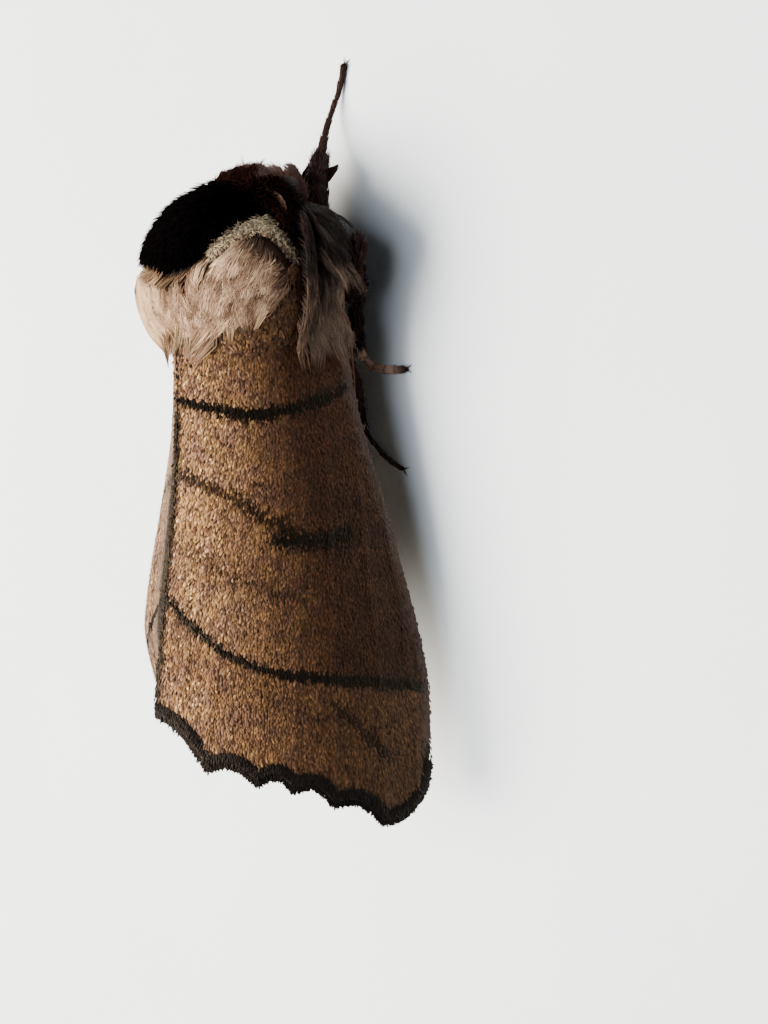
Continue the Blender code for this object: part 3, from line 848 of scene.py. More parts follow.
def abdomenBall(way):
    form, depth = abdomenForm, -bodySkin["abdomenCoat"]
    station = form["middle"] + way[:, 2] * (form["half"] + depth)
    return abdomenSpot(np.arctan2(way[:, 0], way[:, 1]), station, depth)


def skinMarks(points):  # markings of any body point, in millimetres
    x, station, height = points[:, 0], points[:, 1] - stationZero, points[:, 2]
    marks = thoraxMarks(np.arctan2(x, height - thoraxAxis(station)), station, 0 * x)
    onHead = fade(station, 0.4, 1.3) * fade(height, 4.9, 5.3)
    onAbdomen = smoothStep(station, 7.4, 8.2)
    for key in marks:
        marks[key] = marks[key] * (1 - onHead) * (1 - onAbdomen)
    # painted shade: the skin is given a dark tone so that where it shows between the hairs it reads
    # as shade
    marks.update(face=onHead, belly=np.maximum(marks["belly"], onAbdomen * 0.6), tone=0 * x + 0.1)
    return marks


def makeBodySkin():
    skin = joined([shapedBall("thoraxForm", 64, 40, thoraxBall),
                   shapedBall("headForm", 48, 32, headBall),
                   shapedBall("abdomenForm", 56, 60, abdomenBall)], "bodySkin")
    remesh = skin.modifiers.new("oneSkin", "REMESH")
    remesh.mode, remesh.voxel_size = "VOXEL", bodySkin["voxel"] * mm
    smooth = skin.modifiers.new("soften", "SMOOTH")
    smooth.factor, smooth.iterations = 0.5, 6
    applyAll(skin)
    skin.data.shade_smooth()
    setMarks(skin.data, skinMarks(pointsOf(skin.data) / mm))
    nodes = ["head", "collar", "thorax", "abdomen", "tegula_right", "tegula_left"]
    return finishPiece(skin, furMaterial, "thorax_hair", nodes)


skin = makeBodySkin()
print("body skin:", len(skin.data.polygons), "faces")


# Hairs: each is a tapering three-sided strand along its own bent line
commonHair = {"settle": 0.4, "bury": 0.06, "curl": 0.1, "locks": 0, "lockPull": 0,
              "shares": (0, .5, 1)}
strand = {"stops": (0, 0.2, 0.6, 1), "widths": (0.7, 1.0, 0.8, 0.25), "height": 0.55}


def hairLines(roots, out, flow, length, style):
    share = np.array(style["shares"])
    run = length[:, None] * share
    rise = length[:, None] * style["lift"] * (share - style["settle"] * share ** 2) - style["bury"]
    rise = rise * (0.75 + 0.5 * chance.random((len(roots), 1)))
    sag = run ** 2 / (2 * style["bodyRadius"])
    side = unit(np.cross(out, flow))
    curl = chance.normal(0, style["curl"], (len(roots), 1)) * length[:, None] * share ** 2
    lines = roots[:, None] + flow[:, None] * run[..., None] + out[:, None] * (rise - sag)[..., None]
    lines = lines + side[:, None] * curl[..., None]
    nearest, edge = np.arange(len(roots)), np.zeros(len(roots))
    if style["locks"]:  # hairs lean together into locks
        guides = chance.choice(len(roots), max(len(roots) // style["locks"], 1), replace=False)
        for first in range(0, len(roots), 1000):
            part = slice(first, first + 1000)
            gaps = np.linalg.norm(roots[part, None] - roots[None, guides], axis=-1)
            nearest[part] = guides[np.argmin(gaps, axis=1)]
            edge[part] = gaps.min(axis=1) / np.median(gaps.min(axis=1))
        pull = style["lockPull"] * share ** 1.25
        lines = lines + (lines[nearest] - lines) * pull[None, :, None]
    return lines, nearest, edge  # nearest: the hair that leads each one's lock


def outlineRadius(angle, station):  # how far out the thorax and wings reach from the body's axis
    reach = thoraxRadius(station) * np.where(np.cos(angle) < 0, 0.9, 1.0)
    step, turns = 0.15, 140
    stations = np.arange(4.4, 9.5, step)
    for side, sign in sideSign.items():
        table = []
        for at in stations:
            arcs = np.arange(innerArc(at), costaArc(at), 0.08)
            points = wingSpot(side, arcs, np.full(len(arcs), at))
            x, height = np.abs(points[:, 0]), points[:, 2] - thoraxAxis(at)
            table.append(np.interp(np.radians(np.arange(turns)), np.arctan2(x, height),
                                   np.hypot(x, height), left=0, right=0))
        row = np.clip(((station - stations[0]) / step).astype(int), 0, len(stations) - 1)
        column = np.clip(np.degrees(np.abs(angle)).astype(int), 0, turns - 1)
        wing = np.array(table)[row, column] * (station >= stations[0])
        reach = np.where(np.sign(angle) == sign, np.maximum(reach, wing), reach)
    return reach


def clearOfBody(lines, share, clearance):
    # lifts each hair's outer part clear of the thorax and the wing bases
    station = lines[..., 1] - stationZero
    x, height = lines[..., 0], lines[..., 2] - thoraxAxis(station)
    angle, radius = np.arctan2(x, height), np.hypot(x, height)
    least = outlineRadius(angle, station) + clearance * smoothStep(share, 0.1, 0.6)
    wanted = np.where(share > 0.25, np.maximum(radius, least), radius)
    return spot(wanted * np.sin(angle), station, wanted * np.cos(angle) + thoraxAxis(station))


def hairPiece(name, slotName, material, lines, out, width, style, marks, places):
    share = np.array(style["shares"])
    count, rings = lines.shape[:2]
    tangent = unit(np.gradient(lines, axis=1))
    side = unit(np.cross(tangent, out[:, None]))
    top = np.cross(side, tangent)
    taper = np.interp(share, strand["stops"], strand["widths"])[None, :] * width[:, None]
    body, half = lines[:, :-1], (side * taper[..., None] / 2)[:, :-1]
    rise = (top * taper[..., None] * strand["height"])[:, :-1]
    corners = np.stack([body - half, body + half, body + rise], 2).reshape(count, -1, 3)
    points = np.concatenate([corners, lines[:, -1:]], 1)
    faces = [(0, 2, 1)]
    for ring in range(rings - 2):
        for corner in range(3):
            a, b = ring * 3 + corner, ring * 3 + (corner + 1) % 3
            faces += [(a, b, b + 3), (a, b + 3, a + 3)]
    last = (rings - 2) * 3
    faces += [(last + corner, last + (corner + 1) % 3, last + 3) for corner in range(3)]
    faces = np.array(faces)[:, ::-1]  # outward
    triangles = (faces + points.shape[1] * np.arange(count)[:, None, None]).reshape(-1, 3)
    obj = meshFromArrays(name, points.reshape(-1, 3), triangles)
    along = np.append(np.repeat(share[:-1], 3), share[-1])
    full = {key: np.repeat(values, points.shape[1]) for key, values in marks.items()}
    setMarks(obj.data, dict(full, along=np.tile(along, count)))
    across = np.append(np.tile((-0.5, 0.5, 0), rings - 1), 0)
    setBakeMap(obj.data, places, np.stack([across, along - 0.5], 1))
    obj.data.shade_smooth()
    return finishPiece(obj, material, slotName)


def hairLengths(style, count, least=0.15):
    return np.clip(chance.normal(*style["length"], count), least, None)


def hairWidths(style, count):
    return style["width"] * chance.uniform(0.75, 1.3, count)


napeTiles = {
    "stations": (3.9, 7.8), "start": 5.4, "startDrop": 1.6, "dropTurn": 1.4, "halfTurn": 1.55,
    "row": 0.092, "rowSpread": 0.022, "column": 0.0205, "columnSpread": 0.005, "length": 0.22,
    "width": 0.09, "rise": 0.02, "sink": 0.35, "turnSpread": 14, "tilts": (6, 20),
    "tone": (0.44, 0.22, 0.95), "blackShare": 0.03, "mapTurn": 3.2, "mapStart": 3.8,
    "mapLength": 4.2,
}


def napeScales():
    # wing scales that run on over the rear of the thorax, from under the mane to the wing bases
    tiles = napeTiles
    station, angle = [grid.ravel() for grid in np.meshgrid(
        np.arange(*tiles["stations"], tiles["row"]),
        np.arange(-tiles["halfTurn"], tiles["halfTurn"], tiles["column"]), indexing="ij")]
    kept = station > tiles["start"] - tiles["startDrop"] * (np.abs(angle) / tiles["dropTurn"]) ** 2
    station = (station + chance.normal(0, tiles["rowSpread"], len(station)))[kept]
    angle = (angle + chance.normal(0, tiles["columnSpread"], len(angle)))[kept]
    count = len(angle)
    roots = thoraxSpot(angle, station, tiles["rise"] - bodySkin["thoraxCoat"] * tiles["sink"])
    turn = np.radians(chance.normal(0, tiles["turnSpread"], count))
    tilt = np.radians(chance.uniform(*tiles["tilts"], count))
    axes = turned(*thoraxAxes(angle, station, roots), turn, tilt)
    dot = chance.random(count)
    marks = {"tone": randomTones(count, *tiles["tone"]), "inkAndSeamShadow": 0.8 * (dot < tiles["blackShare"]),
             # painted shade on the thorax's sides, matched to the wing's
             "paintedShade": 0.9 * smoothStep(np.abs(angle) / 1.75, 0.06, 0.7)}
    places = mapPlaces(angle / tiles["mapTurn"] + 0.5,
                       (station - tiles["mapStart"]) / tiles["mapLength"])
    return tileScales("napeScales", "thorax_hair", scaleMaterial, roots, axes,
                      np.full(count, tiles["width"]), np.full(count, tiles["length"]), marks, places)


def onRim(angle, station):
    inBand = np.abs(station - patchEdge(angle) - rimWidth / 2) < rimWidth / 2
    return inBand & (np.abs(angle) > math.radians(31))


def inCollar(angle, station):  # a ruff that leaves the antenna roots in sight
    fromAntenna = np.abs(np.abs(angle) - math.radians(63))
    return (station < 1.05 - 0.5 * np.abs(angle)) & (fromAntenna > math.radians(14))


def inMane(angle, station):
    degrees, behind = np.abs(np.degrees(angle)), station - patchEdge(angle)
    slit = (degrees > 66) & (np.abs(behind - 0.72) < 0.2)
    start = -0.2 + 0.72 * smoothStep(degrees, 24, 36)  # leaves the rim in sight
    return (behind > start) & (station < 5.9 - 1.7 * (degrees / 80) ** 1.6) & ~slit


# Thorax coat, region by region: where its hairs root, how they lie and how they are drawn.
# A paired region is given for the left side and mirrored.
commonCoat = dict(commonHair, slot="thorax_hair", material=furMaterial, paired=False, erect=0,
                  swirl=0, clear=0, tone=0.42, litSideCream=0, rimShare=1, lockEdgeShade=0, mapLength=8.4)
coatRegions = {
    "thoraxVelvet": dict(
        commonCoat, material=velvetMaterial, count=9000, degrees=(-92, 92), stations=(0.12, 4.3),
        keep=lambda a, t: t < patchEdge(a) - 0.42, lean=(0, 0.25), length=(0.78, 0.04), width=0.07,
        lift=1.0, erect=0.9, settle=0.42, bodyRadius=4.2),
    "collarHair": dict(
        commonCoat, slot="collar_hair", material=velvetMaterial, count=4600, degrees=(-88, 88),
        stations=(0.04, 1.3), keep=inCollar, lean=(math.pi, 0.25), length=(0.8, 0.07), width=0.06,
        lift=1.75, settle=0.45, locks=10, lockPull=0.5, bodyRadius=4.0, shares=(0, .35, .7, 1)),
    "tegulaRim": dict(
        commonCoat, slot="tegula_hair", count=6400, degrees=(-84, 84), stations=(1.7, 4.8),
        keep=onRim, lean=(0, 0.9), length=(0.27, 0.06), width=0.085, lift=1.55, settle=0.45,
        curl=0.12, bodyRadius=4.2),
    "tegulaMane": dict(
        commonCoat, slot="tegula_hair", count=8600, degrees=(-82, 82), stations=(2.0, 5.7),
        keep=inMane, lean=(0, 0.12), swirl=0.42, clear=0.12, length=(1.95, 0.4), width=0.05,
        tone=0.62, litSideCream=1.0, rimShare=0.1, lift=0.44, settle=0.62, bury=0.1, curl=0.16, locks=46,
        lockPull=0.88, lockEdgeShade=0.38, bodyRadius=4.4, shares=(0, .2, .45, .72, 1)),
    "flankHair": dict(
        commonCoat, paired=True, count=3200, degrees=(83, 140), stations=(1.1, 5.6),
        keep=lambda a, t: t > 1.2, lean=(0.12, 0.1), clear=0.35, length=(2.2, 0.45), width=0.05,
        rimShare=0, lift=0.5, settle=0.5, bury=0.1, curl=0.06, locks=24, lockPull=0.75,
        lockEdgeShade=0.38, bodyRadius=5.5, shares=(0, .2, .45, .72, 1)),
    "shoulderHair": dict(
        commonCoat, paired=True, count=2100, degrees=(92, 142), stations=(1.3, 3.3),
        keep=lambda a, t: t > 1.3, lean=(0.2, 0.15), length=(1.75, 0.3), width=0.055, rimShare=0,
        lift=1.3, settle=0.45, bury=0.1, curl=0.07, locks=20, lockPull=0.6, bodyRadius=6.0,
        shares=(0, .25, .5, .75, 1)),
    "bellyHair": dict(
        commonCoat, paired=True, count=1700, degrees=(84, 180), stations=(0.5, 7.8),
        keep=lambda a, t: (a > math.radians(125)) | (t < 1.8), lean=(0, 0.2), length=(0.95, 0.2),
        width=0.065, lift=0.45, bury=0.08, curl=0.12, locks=12, lockPull=0.5, bodyRadius=4.0,
        shares=(0, .35, .7, 1)),
}


def thoraxRoots(region):  # scattered evenly over the region
    tries = region["count"] * 6
    angle = np.radians(chance.uniform(*region["degrees"], tries))
    station = chance.uniform(*region["stations"], tries)
    fair = chance.random(tries) < thoraxRadius(station) / thoraxForm["radius"]
    chosen = np.flatnonzero(fair & region["keep"](angle, station))[:region["count"]]
    return angle[chosen], station[chosen]


def growRegion(name, region, sign=1):
    angle, station = thoraxRoots(region)
    count = len(angle)
    middle, spread = region["lean"]
    lean = chance.normal(middle, spread, count)
    lean = lean - region["swirl"] * np.sign(angle) * smoothStep(np.abs(angle), 0.1, 0.9)
    angle, lean = sign * angle, (sign if middle else 1) * lean
    roots = thoraxSpot(angle, station, -bodySkin["thoraxCoat"])
    across, back, out = thoraxAxes(angle, station, roots)
    flow = unit(swing(back, across, lean))
    length = hairLengths(region, count)
    marks = thoraxMarks(angle, station, chance.normal(0, 1, count))
    tone = randomTones(count, region["tone"], 0.32)
    marks["flank"] = smoothStep(np.abs(np.degrees(angle)), 76, 90)
    if name == "collarHair":
        marks["rust"] = np.ones(count)
    # painted light: the mane is tinted cream towards the moth's left, the side the light falls on
    marks["litSideCream"] = region["litSideCream"] * smoothStep(np.degrees(angle), -25, 20)
    marks["rim"] = marks["rim"] * region["rimShare"]
    marks["dark"] = marks["dark"] * (1 - region["litSideCream"])
    fuller = region["lift"] + region["erect"] * fade(station, 0.9, 3.0)  # at the front
    lines, nearest, edge = hairLines(roots, out, flow, length, dict(region, lift=fuller[:, None]))
    tone = 0.35 * tone + 0.65 * tone[nearest]  # a lock has one tone
    # painted shade: long locks are darker where they part, at the edges of each lock
    marks["tone"] = np.clip(tone - region["lockEdgeShade"] * smoothStep(edge, 0.85, 1.7), 0, 1)
    if region["clear"]:
        lines = clearOfBody(lines, np.array(region["shares"])[None, :], region["clear"])
    places = mapPlaces(angle / (2 * np.pi) + 0.5, station / region["mapLength"])
    obj = hairPiece(name, region["slot"], region["material"], lines, out, hairWidths(region, count),
                    region, marks, places)
    print("grown", name, len(obj.data.polygons), "triangles")


napeScales()
for name, region in coatRegions.items():
    if region["paired"]:
        for side, sign in sideSign.items():
            growRegion(name + "_" + side, region, sign)
    else:
        growRegion(name, region)


# Head: short hair round the face, a warmer crest between the antennae and a pale front
faceStyle = dict(commonHair, count=4200, length=(0.46, 0.08), width=0.045, lift=1.1, bury=0.05,
                 curl=0.12, locks=6, lockPull=0.4, bodyRadius=1.6, eye=(1.32, -0.2, -0.05),
                 eyeGap=0.3)


def growFaceHair(style):
    way = unit(chance.normal(0, 1, (style["count"] * 2, 3)))
    fromEye = np.linalg.norm(np.abs(way) - unit(np.array(style["eye"])), axis=1)
    way = way[(way[:, 1] < 0.45) & (fromEye >= style["eyeGap"])][:style["count"]]
    count, (x, back, up) = len(way), way.T
    roots = headSpot(way, -bodySkin["headCoat"])
    out = unit(way / np.array(headForm["size"]) ** 2)
    aim = np.array([(0, -0.75, 0.35)])
    flow = aim - out * (aim * out).sum(1)[:, None]
    flow = unit(flow + chance.normal(0, 0.15, flow.shape))
    length = hairLengths(style, count)
    front = smoothStep(-back, 0.45, 0.8) * fade(up, 0.45, 0.6)
    crest = smoothStep(up, 0.4, 0.62)
    length = length * (1 + 0.5 * crest + 0.7 * smoothStep(np.abs(x), 0.5, 0.8) * (up < 0.1))
    marks = {"tone": randomTones(count, 0.45, 0.2), "face": 1 - 0.6 * front, "pink": front,
             "vertex": crest * (np.abs(x) < 0.62), "grey": 0.7 * (1 - front) * (1 - crest)}
    lines = hairLines(roots, out, flow, length, style)[0]
    places = 0.5 + 0.46 * np.stack([x, up], 1) * (1 + way[:, 1:2]) / 1.5
    hairPiece("faceHair", "head_hair", furMaterial, lines, out, hairWidths(style, count), style,
              marks, places)


growFaceHair(faceStyle)

abdomenStyle = dict(commonHair, count=5200, length=(0.62, 0.1), width=0.085, lift=0.3, bury=0.04,
                    locks=9, lockPull=0.35, bodyRadius=2.6, stations=(7.6, 20.0), mapStart=7.4,
                    mapLength=13)


def growAbdomenHair(style):
    station = chance.uniform(*style["stations"], style["count"] * 2)
    fair = chance.random(len(station)) < abdomenRadius(station) / abdomenForm["radius"]
    station = station[fair][:style["count"]]
    count = len(station)
    angle = chance.uniform(-np.pi, np.pi, count)
    roots = abdomenSpot(angle, station, -bodySkin["abdomenCoat"])
    away = roots - spot(0, station, abdomenForm["axis"])
    across, back, out = surfaceAxes(abdomenSpot, angle, station, away)
    lean = chance.normal(0, 0.15, count)
    flow = unit(swing(back, across, lean))
    # longer at the tip
    length = hairLengths(style, count, 0.2) * (1 + 0.5 * smoothStep(station, 18, 20))
    marks = {"tone": randomTones(count, 0.4, 0.2), "belly": np.full(count, 0.6)}
    lines = hairLines(roots, out, flow, length, style)[0]
    places = mapPlaces(angle / (2 * np.pi) + 0.5, (station - style["mapStart"]) / style["mapLength"])
    hairPiece("abdomenHair", "abdomen_hair", furMaterial, lines, out, hairWidths(style, count),
              style, marks, places)


growAbdomenHair(abdomenStyle)
print("head and abdomen coats done")

# Compound eyes: dark domes of tiny six-sided lenses with a barely paler net. The lenses are
# drawn 0.09 mm wide, or they wouldn't show.
eyeMaterial = grainedMaterial(
    "cornea of a compound eye", {"Roughness": 0.38, "IOR": 1.45, "Specular IOR Level": 0.06},
    "TexVoronoi", {"Scale": 11000.0, "Randomness": 0.25, "feature": "DISTANCE_TO_EDGE"},
    ((0.0, "#1d1510"), (0.2, "#060404")), 0.012)


eyeForm = {"segments": 56, "rings": 32, "share": 0.88}  # its share of the solid


def makeEye(side):
    low, high = [np.array(corner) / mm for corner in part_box("eye_" + side)]
    middle, size = (low + high) / 2, (high - low) / 2
    obj = shapedBall("eyeLens_" + side, eyeForm["segments"], eyeForm["rings"],
                     lambda way: middle + way * size * eyeForm["share"])
    obj.data.shade_smooth()
    finishPiece(obj, eyeMaterial, "eye_lens", ["eye_" + side])


for side in sideSign:
    makeEye(side)


# Limbs: tapering jointed tubes along their own lines
def bentLine(stops, steps):  # the smooth line that a row of stops pulls, ends included
    stops = np.array(stops, float)
    last = len(stops) - 3
    found = []
    for index in range(last + 1):
        a, b, c = stops[index:index + 3]
        u = np.linspace(0, 1, steps, endpoint=index == last)[:, None]
        start, end = 1.0 if index == 0 else 0.5, 1.0 if index == last else 0.5
        first, third = start * (1 - u) ** 2, end * u ** 2
        found.append(a * first + c * third + b * (1 - first - third))
    return np.concatenate(found)


def evenly(line, count):  # the line as evenly spaced points, and its length
    run = np.concatenate([[0], np.cumsum(np.linalg.norm(np.diff(line[:, :3], axis=0), axis=1))])
    at = np.linspace(0, run[-1], count)
    return np.stack([np.interp(at, run, column) for column in line.T], 1), run[-1]


def limbFrames(centres):
    tangent = unit(np.gradient(centres, axis=0))
    upright = abs(tangent[0][2]) >= 0.9
    side = unit(np.cross(tangent[0], (1.0, 0.0, 0.0) if upright else (0.0, 0.0, 1.0)))
    sides = []
    for along in tangent:
        side = unit(side - along * (side @ along))
        sides.append(side)
    sides = np.array(sides)
    return tangent, sides, np.cross(tangent, sides)


def limbMesh(name, centres, radii, around, marks=None):
    tangent, side, top = limbFrames(centres)
    turn = np.linspace(0, 2 * np.pi, around, endpoint=False)
    ring = swing(side[:, None], top[:, None], turn) * radii[:, None, None]
    points = (centres[:, None] + ring).reshape(-1, 3)
    points = np.concatenate([points, centres[:1], centres[-1:]])
    faces, rings = [], len(centres)
    for row in range(rings - 1):
        for a in range(around):
            b = (a + 1) % around
            faces.append((row * around + a, row * around + b, (row + 1) * around + b))
            faces.append((row * around + a, (row + 1) * around + b, (row + 1) * around + a))
    for a in range(around):
        b, end = (a + 1) % around, (rings - 1) * around
        faces.append((a, len(points) - 2, b))
        faces.append((end + a, end + b, len(points) - 1))
    obj = meshFromArrays(name, points, np.array(faces))
    turnFaces(obj.data)
    obj.data.shade_smooth()
    setMarks(obj.data, {key: np.append(np.repeat(values, around), values[[0, -1]])
                        for key, values in (marks or {}).items()})
    return obj


legRoutes = {  # sideways, station, height and radius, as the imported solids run
    "foreleg_right": ((1.3, 2.9, 2.3, .5), (1.5, 1.5, 2.2, .6), (1.3, .3, 1.95, .62),
                      (1.0, -.8, 1.4, .42), (.7, -2, .8, .28), (.7, -2.9, .4, .25),
                      (.95, -3.7, .2, .25), (1.2, -4.72, .2, .27)),
    "foreleg_left": ((1.3, 2.9, 2.3, .5), (2.3, 2.3, 2.1, .6), (3.3, 1.7, 2, .55),
                     (3.5, 1.2, 1.3, .4), (3.4, .9, .5, .28), (3.1, .5, .2, .25),
                     (2.5, .1, .2, .25)),
    "midleg": ((1.6, 4.6, 2, .5), (3.45, 5.05, 1.65, .44), (4.05, 4, 2.6, .4), (4.15, 3.2, 2.2, .32),
               (3.75, 2.7, 2, .3), (2.7, 2.8, 1.3, .3), (2.6, 4.2, .85, .33), (2.5, 5.7, 1.1, .34),
               (2, 7.2, .5, .27), (2.7, 8.05, .2, .25), (4.45, 8, .2, .26)),
    "hindleg": ((1.3, 6.2, 2.2, .5), (2.3, 7.4, 1.7, .45), (2.85, 8.6, 1.5, .38), (2.3, 9.4, .8, .3),
                (1.75, 10.1, .2, .25), (2.4, 10.9, .2, .25), (3.3, 11.7, .2, .25),
                (4.1, 12.05, .2, .26)),
}
commonLeg = {"spurs": (), "brushes": (), "slim": 0.72, "hair": 0.3, "tone": 0.3, "grey": 0.0,
             "pale": 0.12, "coat": 0.09, "rings": 110, "around": 14, "hairsPerMm": 1500 / 8,
             "footHair": 0.14, "hairWidths": (0.04, 0.045), "brushWidth": 0.06}
legJoints = {"segments": 5, "least": 0.86, "flare": 0.2, "pinch": 0.25, "pinchWidth": 0.1,
             "kneePinch": 0.16, "kneeWidth": 0.02, "darkWidth": 0.12}
clawForm = {"apart": 0.05, "splay": 0.7, "rise": 0.25, "drop": 0.55, "length": 0.24, "width": 0.035}
spurForm = {"reaches": ((-1, 0.6), (1, 0.45)), "splay": 0.45, "width": 0.05}
legSettings = {  # knee, tarsus and spurs: shares of the leg; slim: the tarsus's share of its solid
    "foreleg_right": dict(commonLeg, knee=0.3, tarsus=0.5, tone=0.16, pale=0.02, brushes=(
        # place, spread, hairs, sideways and up, reach, lift
        (0.36, 3, 90, (0.7, -0.6), 0.85, 0.5), (0.3, 8, 170, (-0.75, 0.5), 0.72, 0.42))),
    "foreleg_left": dict(commonLeg, knee=0.35, tarsus=0.6, tone=0.35),
    "midleg": dict(commonLeg, knee=0.36, tarsus=0.77, spurs=(0.765,), slim=1.05, hair=0.5, grey=0.5,
                   pale=0.9),
    "hindleg": dict(commonLeg, knee=0.3, tarsus=0.6, spurs=(0.45, 0.59), slim=0.55, hair=0.4,
                    grey=0.4),
}
legHair = dict(commonHair, lift=0.32, settle=0.3, bury=0.02, bodyRadius=3.0)
brushHair = dict(commonHair, settle=0.2, bury=0.05, curl=0.03, lockPull=0.85, bodyRadius=9.0,
                 shares=(0, .4, .75, 1))
# matt red brown scales, greyer on the thighs and paler on the feet
redBrown = ((0.0, "#100605"), (1.0, "#664034"), (0.4, "#28120f"), (0.7, "#42221b"))
legMaterial = hairMaterial("red brown leg scales", redBrown, (
    ("grey", "#2c2422", 0.85), ("pale", "#c6a088", 0.9), ("dark", "#1a1110", 0.9)), 0.55, 0.0, 0.05)
# dark horn with a thin clear skin
clawMaterial = grainedMaterial("horny claw", {"Roughness": 0.25, "IOR": 1.56, "Coat Weight": 0.3},
                               "TexNoise", {"Scale": 4000.0}, ((0.3, "#1a0f0c"), (0.7, "#3a2018")))


def spike(name, start, way, bendWay, length, thickness):
    u = np.linspace(0, 1, 9)[:, None]
    centres = start + way * length * u + bendWay * length * 0.45 * u ** 2
    radii = thickness * np.interp(u[:, 0], (0, 0.15, 1), (0.8, 1.0, 0.08))
    return limbMesh(name, centres, radii, 8)


def legShape(settings, sign, route):
    # centres and radii inside the coat, the length, and how far each ring is tarsus or its joint
    form = legJoints
    line = bentLine([(sign * x, t + stationZero, u, r) for x, t, u, r in route], 10)
    line, length = evenly(line, settings["rings"])
    share = np.linspace(0, 1, len(line))
    tarsal = smoothStep(share, settings["tarsus"] - 0.02, settings["tarsus"] + 0.02)
    joint = (share - settings["tarsus"]) / (1 - settings["tarsus"]) * form["segments"] % 1
    flare = form["least"] + form["flare"] * joint ** 1.5
    flare = flare - form["pinch"] * bell(joint, form["pinchWidth"])
    segments = np.where(tarsal > 0.5, flare, 1.0)
    knee = 1 - form["kneePinch"] * bell(share - settings["knee"], form["kneeWidth"])
    full = line[:, 3] - settings["coat"]
    radii = full * (1 - tarsal * (1 - settings["slim"])) * segments * knee
    radii = radii * np.interp(share, (0, 0.985, 1), (1, 1, 0.5))
    centres = line[:, :3].copy()
    centres[:, 2] -= (full - radii) * smoothStep(share, settings["tarsus"], 1)  # down to the floor
    return centres, radii, length, share, tarsal, joint


def makeLeg(node, side):
    key = node if node in legRoutes else node.split("_")[0]
    settings, sign = legSettings[key], sideSign[side]
    centres, radii, length, share, tarsal, joint = legShape(settings, sign, legRoutes[key])
    marks = {"tone": settings["tone"] - 0.12 + 0 * share, "grey": settings["grey"] * (1 - tarsal),
             "pale": tarsal * settings["pale"] * fade(share, 0.93, 1),
             "dark": 0.5 * bell(joint, legJoints["darkWidth"]) * tarsal}
    obj = limbMesh("legSkin_" + node, centres, radii, settings["around"], marks)
    finishPiece(obj, legMaterial, "leg_hair", [node])

    # scales and hairs that point down the leg, long on the thigh and short on the foot
    tangent, across, top = limbFrames(centres)
    count = int(settings["hairsPerMm"] * length)
    at = chance.uniform(0.02, 0.985, count)
    row = (at * (len(share) - 1)).astype(int)
    turn = chance.uniform(0, 2 * np.pi, count)
    out = swing(across[row], top[row], turn)
    flow = unit(tangent[row] + chance.normal(0, 0.12, (count, 3)))
    onFoot = at >= settings["tarsus"]
    hair = np.where(onFoot, settings["footHair"], settings["hair"])
    hair = hair * chance.uniform(0.7, 1.3, count)
    lines = hairLines(centres[row] + out * radii[row, None] * 0.97, out, flow, hair, legHair)[0]
    lines[..., 2] = np.maximum(lines[..., 2], 0.015)
    hairMarks = {key: values[row] for key, values in marks.items()}
    hairMarks["tone"] = np.clip(settings["tone"] + chance.normal(0.05, 0.18, count), 0, 1)
    width = np.where(onFoot, *settings["hairWidths"]) * chance.uniform(0.8, 1.2, count)
    hairPiece("legHair_" + node, "leg_hair", legMaterial, lines, out, width, legHair, hairMarks,
              mapPlaces(turn / (2 * np.pi), at))

    # pointed brushes on the thigh, each one lock
    for number, (place, spread, hairs, aside, reach, lift) in enumerate(settings["brushes"]):
        middle = place * (len(share) - 1)
        row = np.clip(middle + chance.normal(0, spread, hairs), 1, len(share) - 2).astype(int)
        aim = np.array((sign * aside[0], 0.0, aside[1]))
        aim = aim + chance.normal(0, 0.04 * spread, (hairs, 3))
        out = unit(aim - tangent[row] * (aim * tangent[row]).sum(1)[:, None])
        roots, flow = centres[row] + out * radii[row, None] * 0.8, unit(tangent[row] + 0.35 * out)
        style = dict(brushHair, lift=lift, locks=hairs)
        lines = hairLines(roots, out, flow, chance.normal(reach, 0.1, hairs), style)[0]
        brush = {key: values[row] for key, values in marks.items()}
        brush["tone"] = randomTones(hairs, 0.25, 0.1)
        places = np.stack([0.5 + 0.1 * out[:, 0], 0.02 + 0.96 * share[row]], 1)
        hairPiece("legBrush" + str(number) + "_" + node, "leg_hair", legMaterial, lines, out,
                  np.full(hairs, settings["brushWidth"]), style, brush, places)

    # two hooked claws at the tip, and spurs behind the tibia's joints
    form, tipWay = clawForm, unit(tangent[-1] * (1, 1, 0))
    sideways = unit(np.cross(tipWay, (0, 0, 1.0)))
    hookWay = unit(np.array([0, 0, -form["drop"]]) + tipWay * 0.2)
    spikes = [spike("claw", centres[-1] + sideways * way * form["apart"],
                    unit(tipWay + sideways * way * form["splay"] + (0, 0, form["rise"])), hookWay,
                    form["length"], form["width"]) for way in (-1, 1)]
    for place in settings["spurs"]:
        row = int(place * (len(share) - 1))
        for way, reach in spurForm["reaches"]:
            aim = unit(tangent[row] + across[row] * way * spurForm["splay"] - top[row] * 0.1)
            spikes.append(spike("spur", centres[row] + across[row] * way * radii[row] * 0.6, aim,
                                top[row] * 0.1, reach, spurForm["width"]))
    horn = joined(spikes, "legClaws_" + node)
    points = pointsOf(horn.data)
    points[:, 2] = np.maximum(points[:, 2], 0)
    movePoints(horn.data, points)
    finishPiece(horn, clawMaterial, "leg_hair")


for side in sideSign:
    for leg in ("foreleg_", "midleg_", "hindleg_"):
        makeLeg(leg + side, side)
print("legs done")

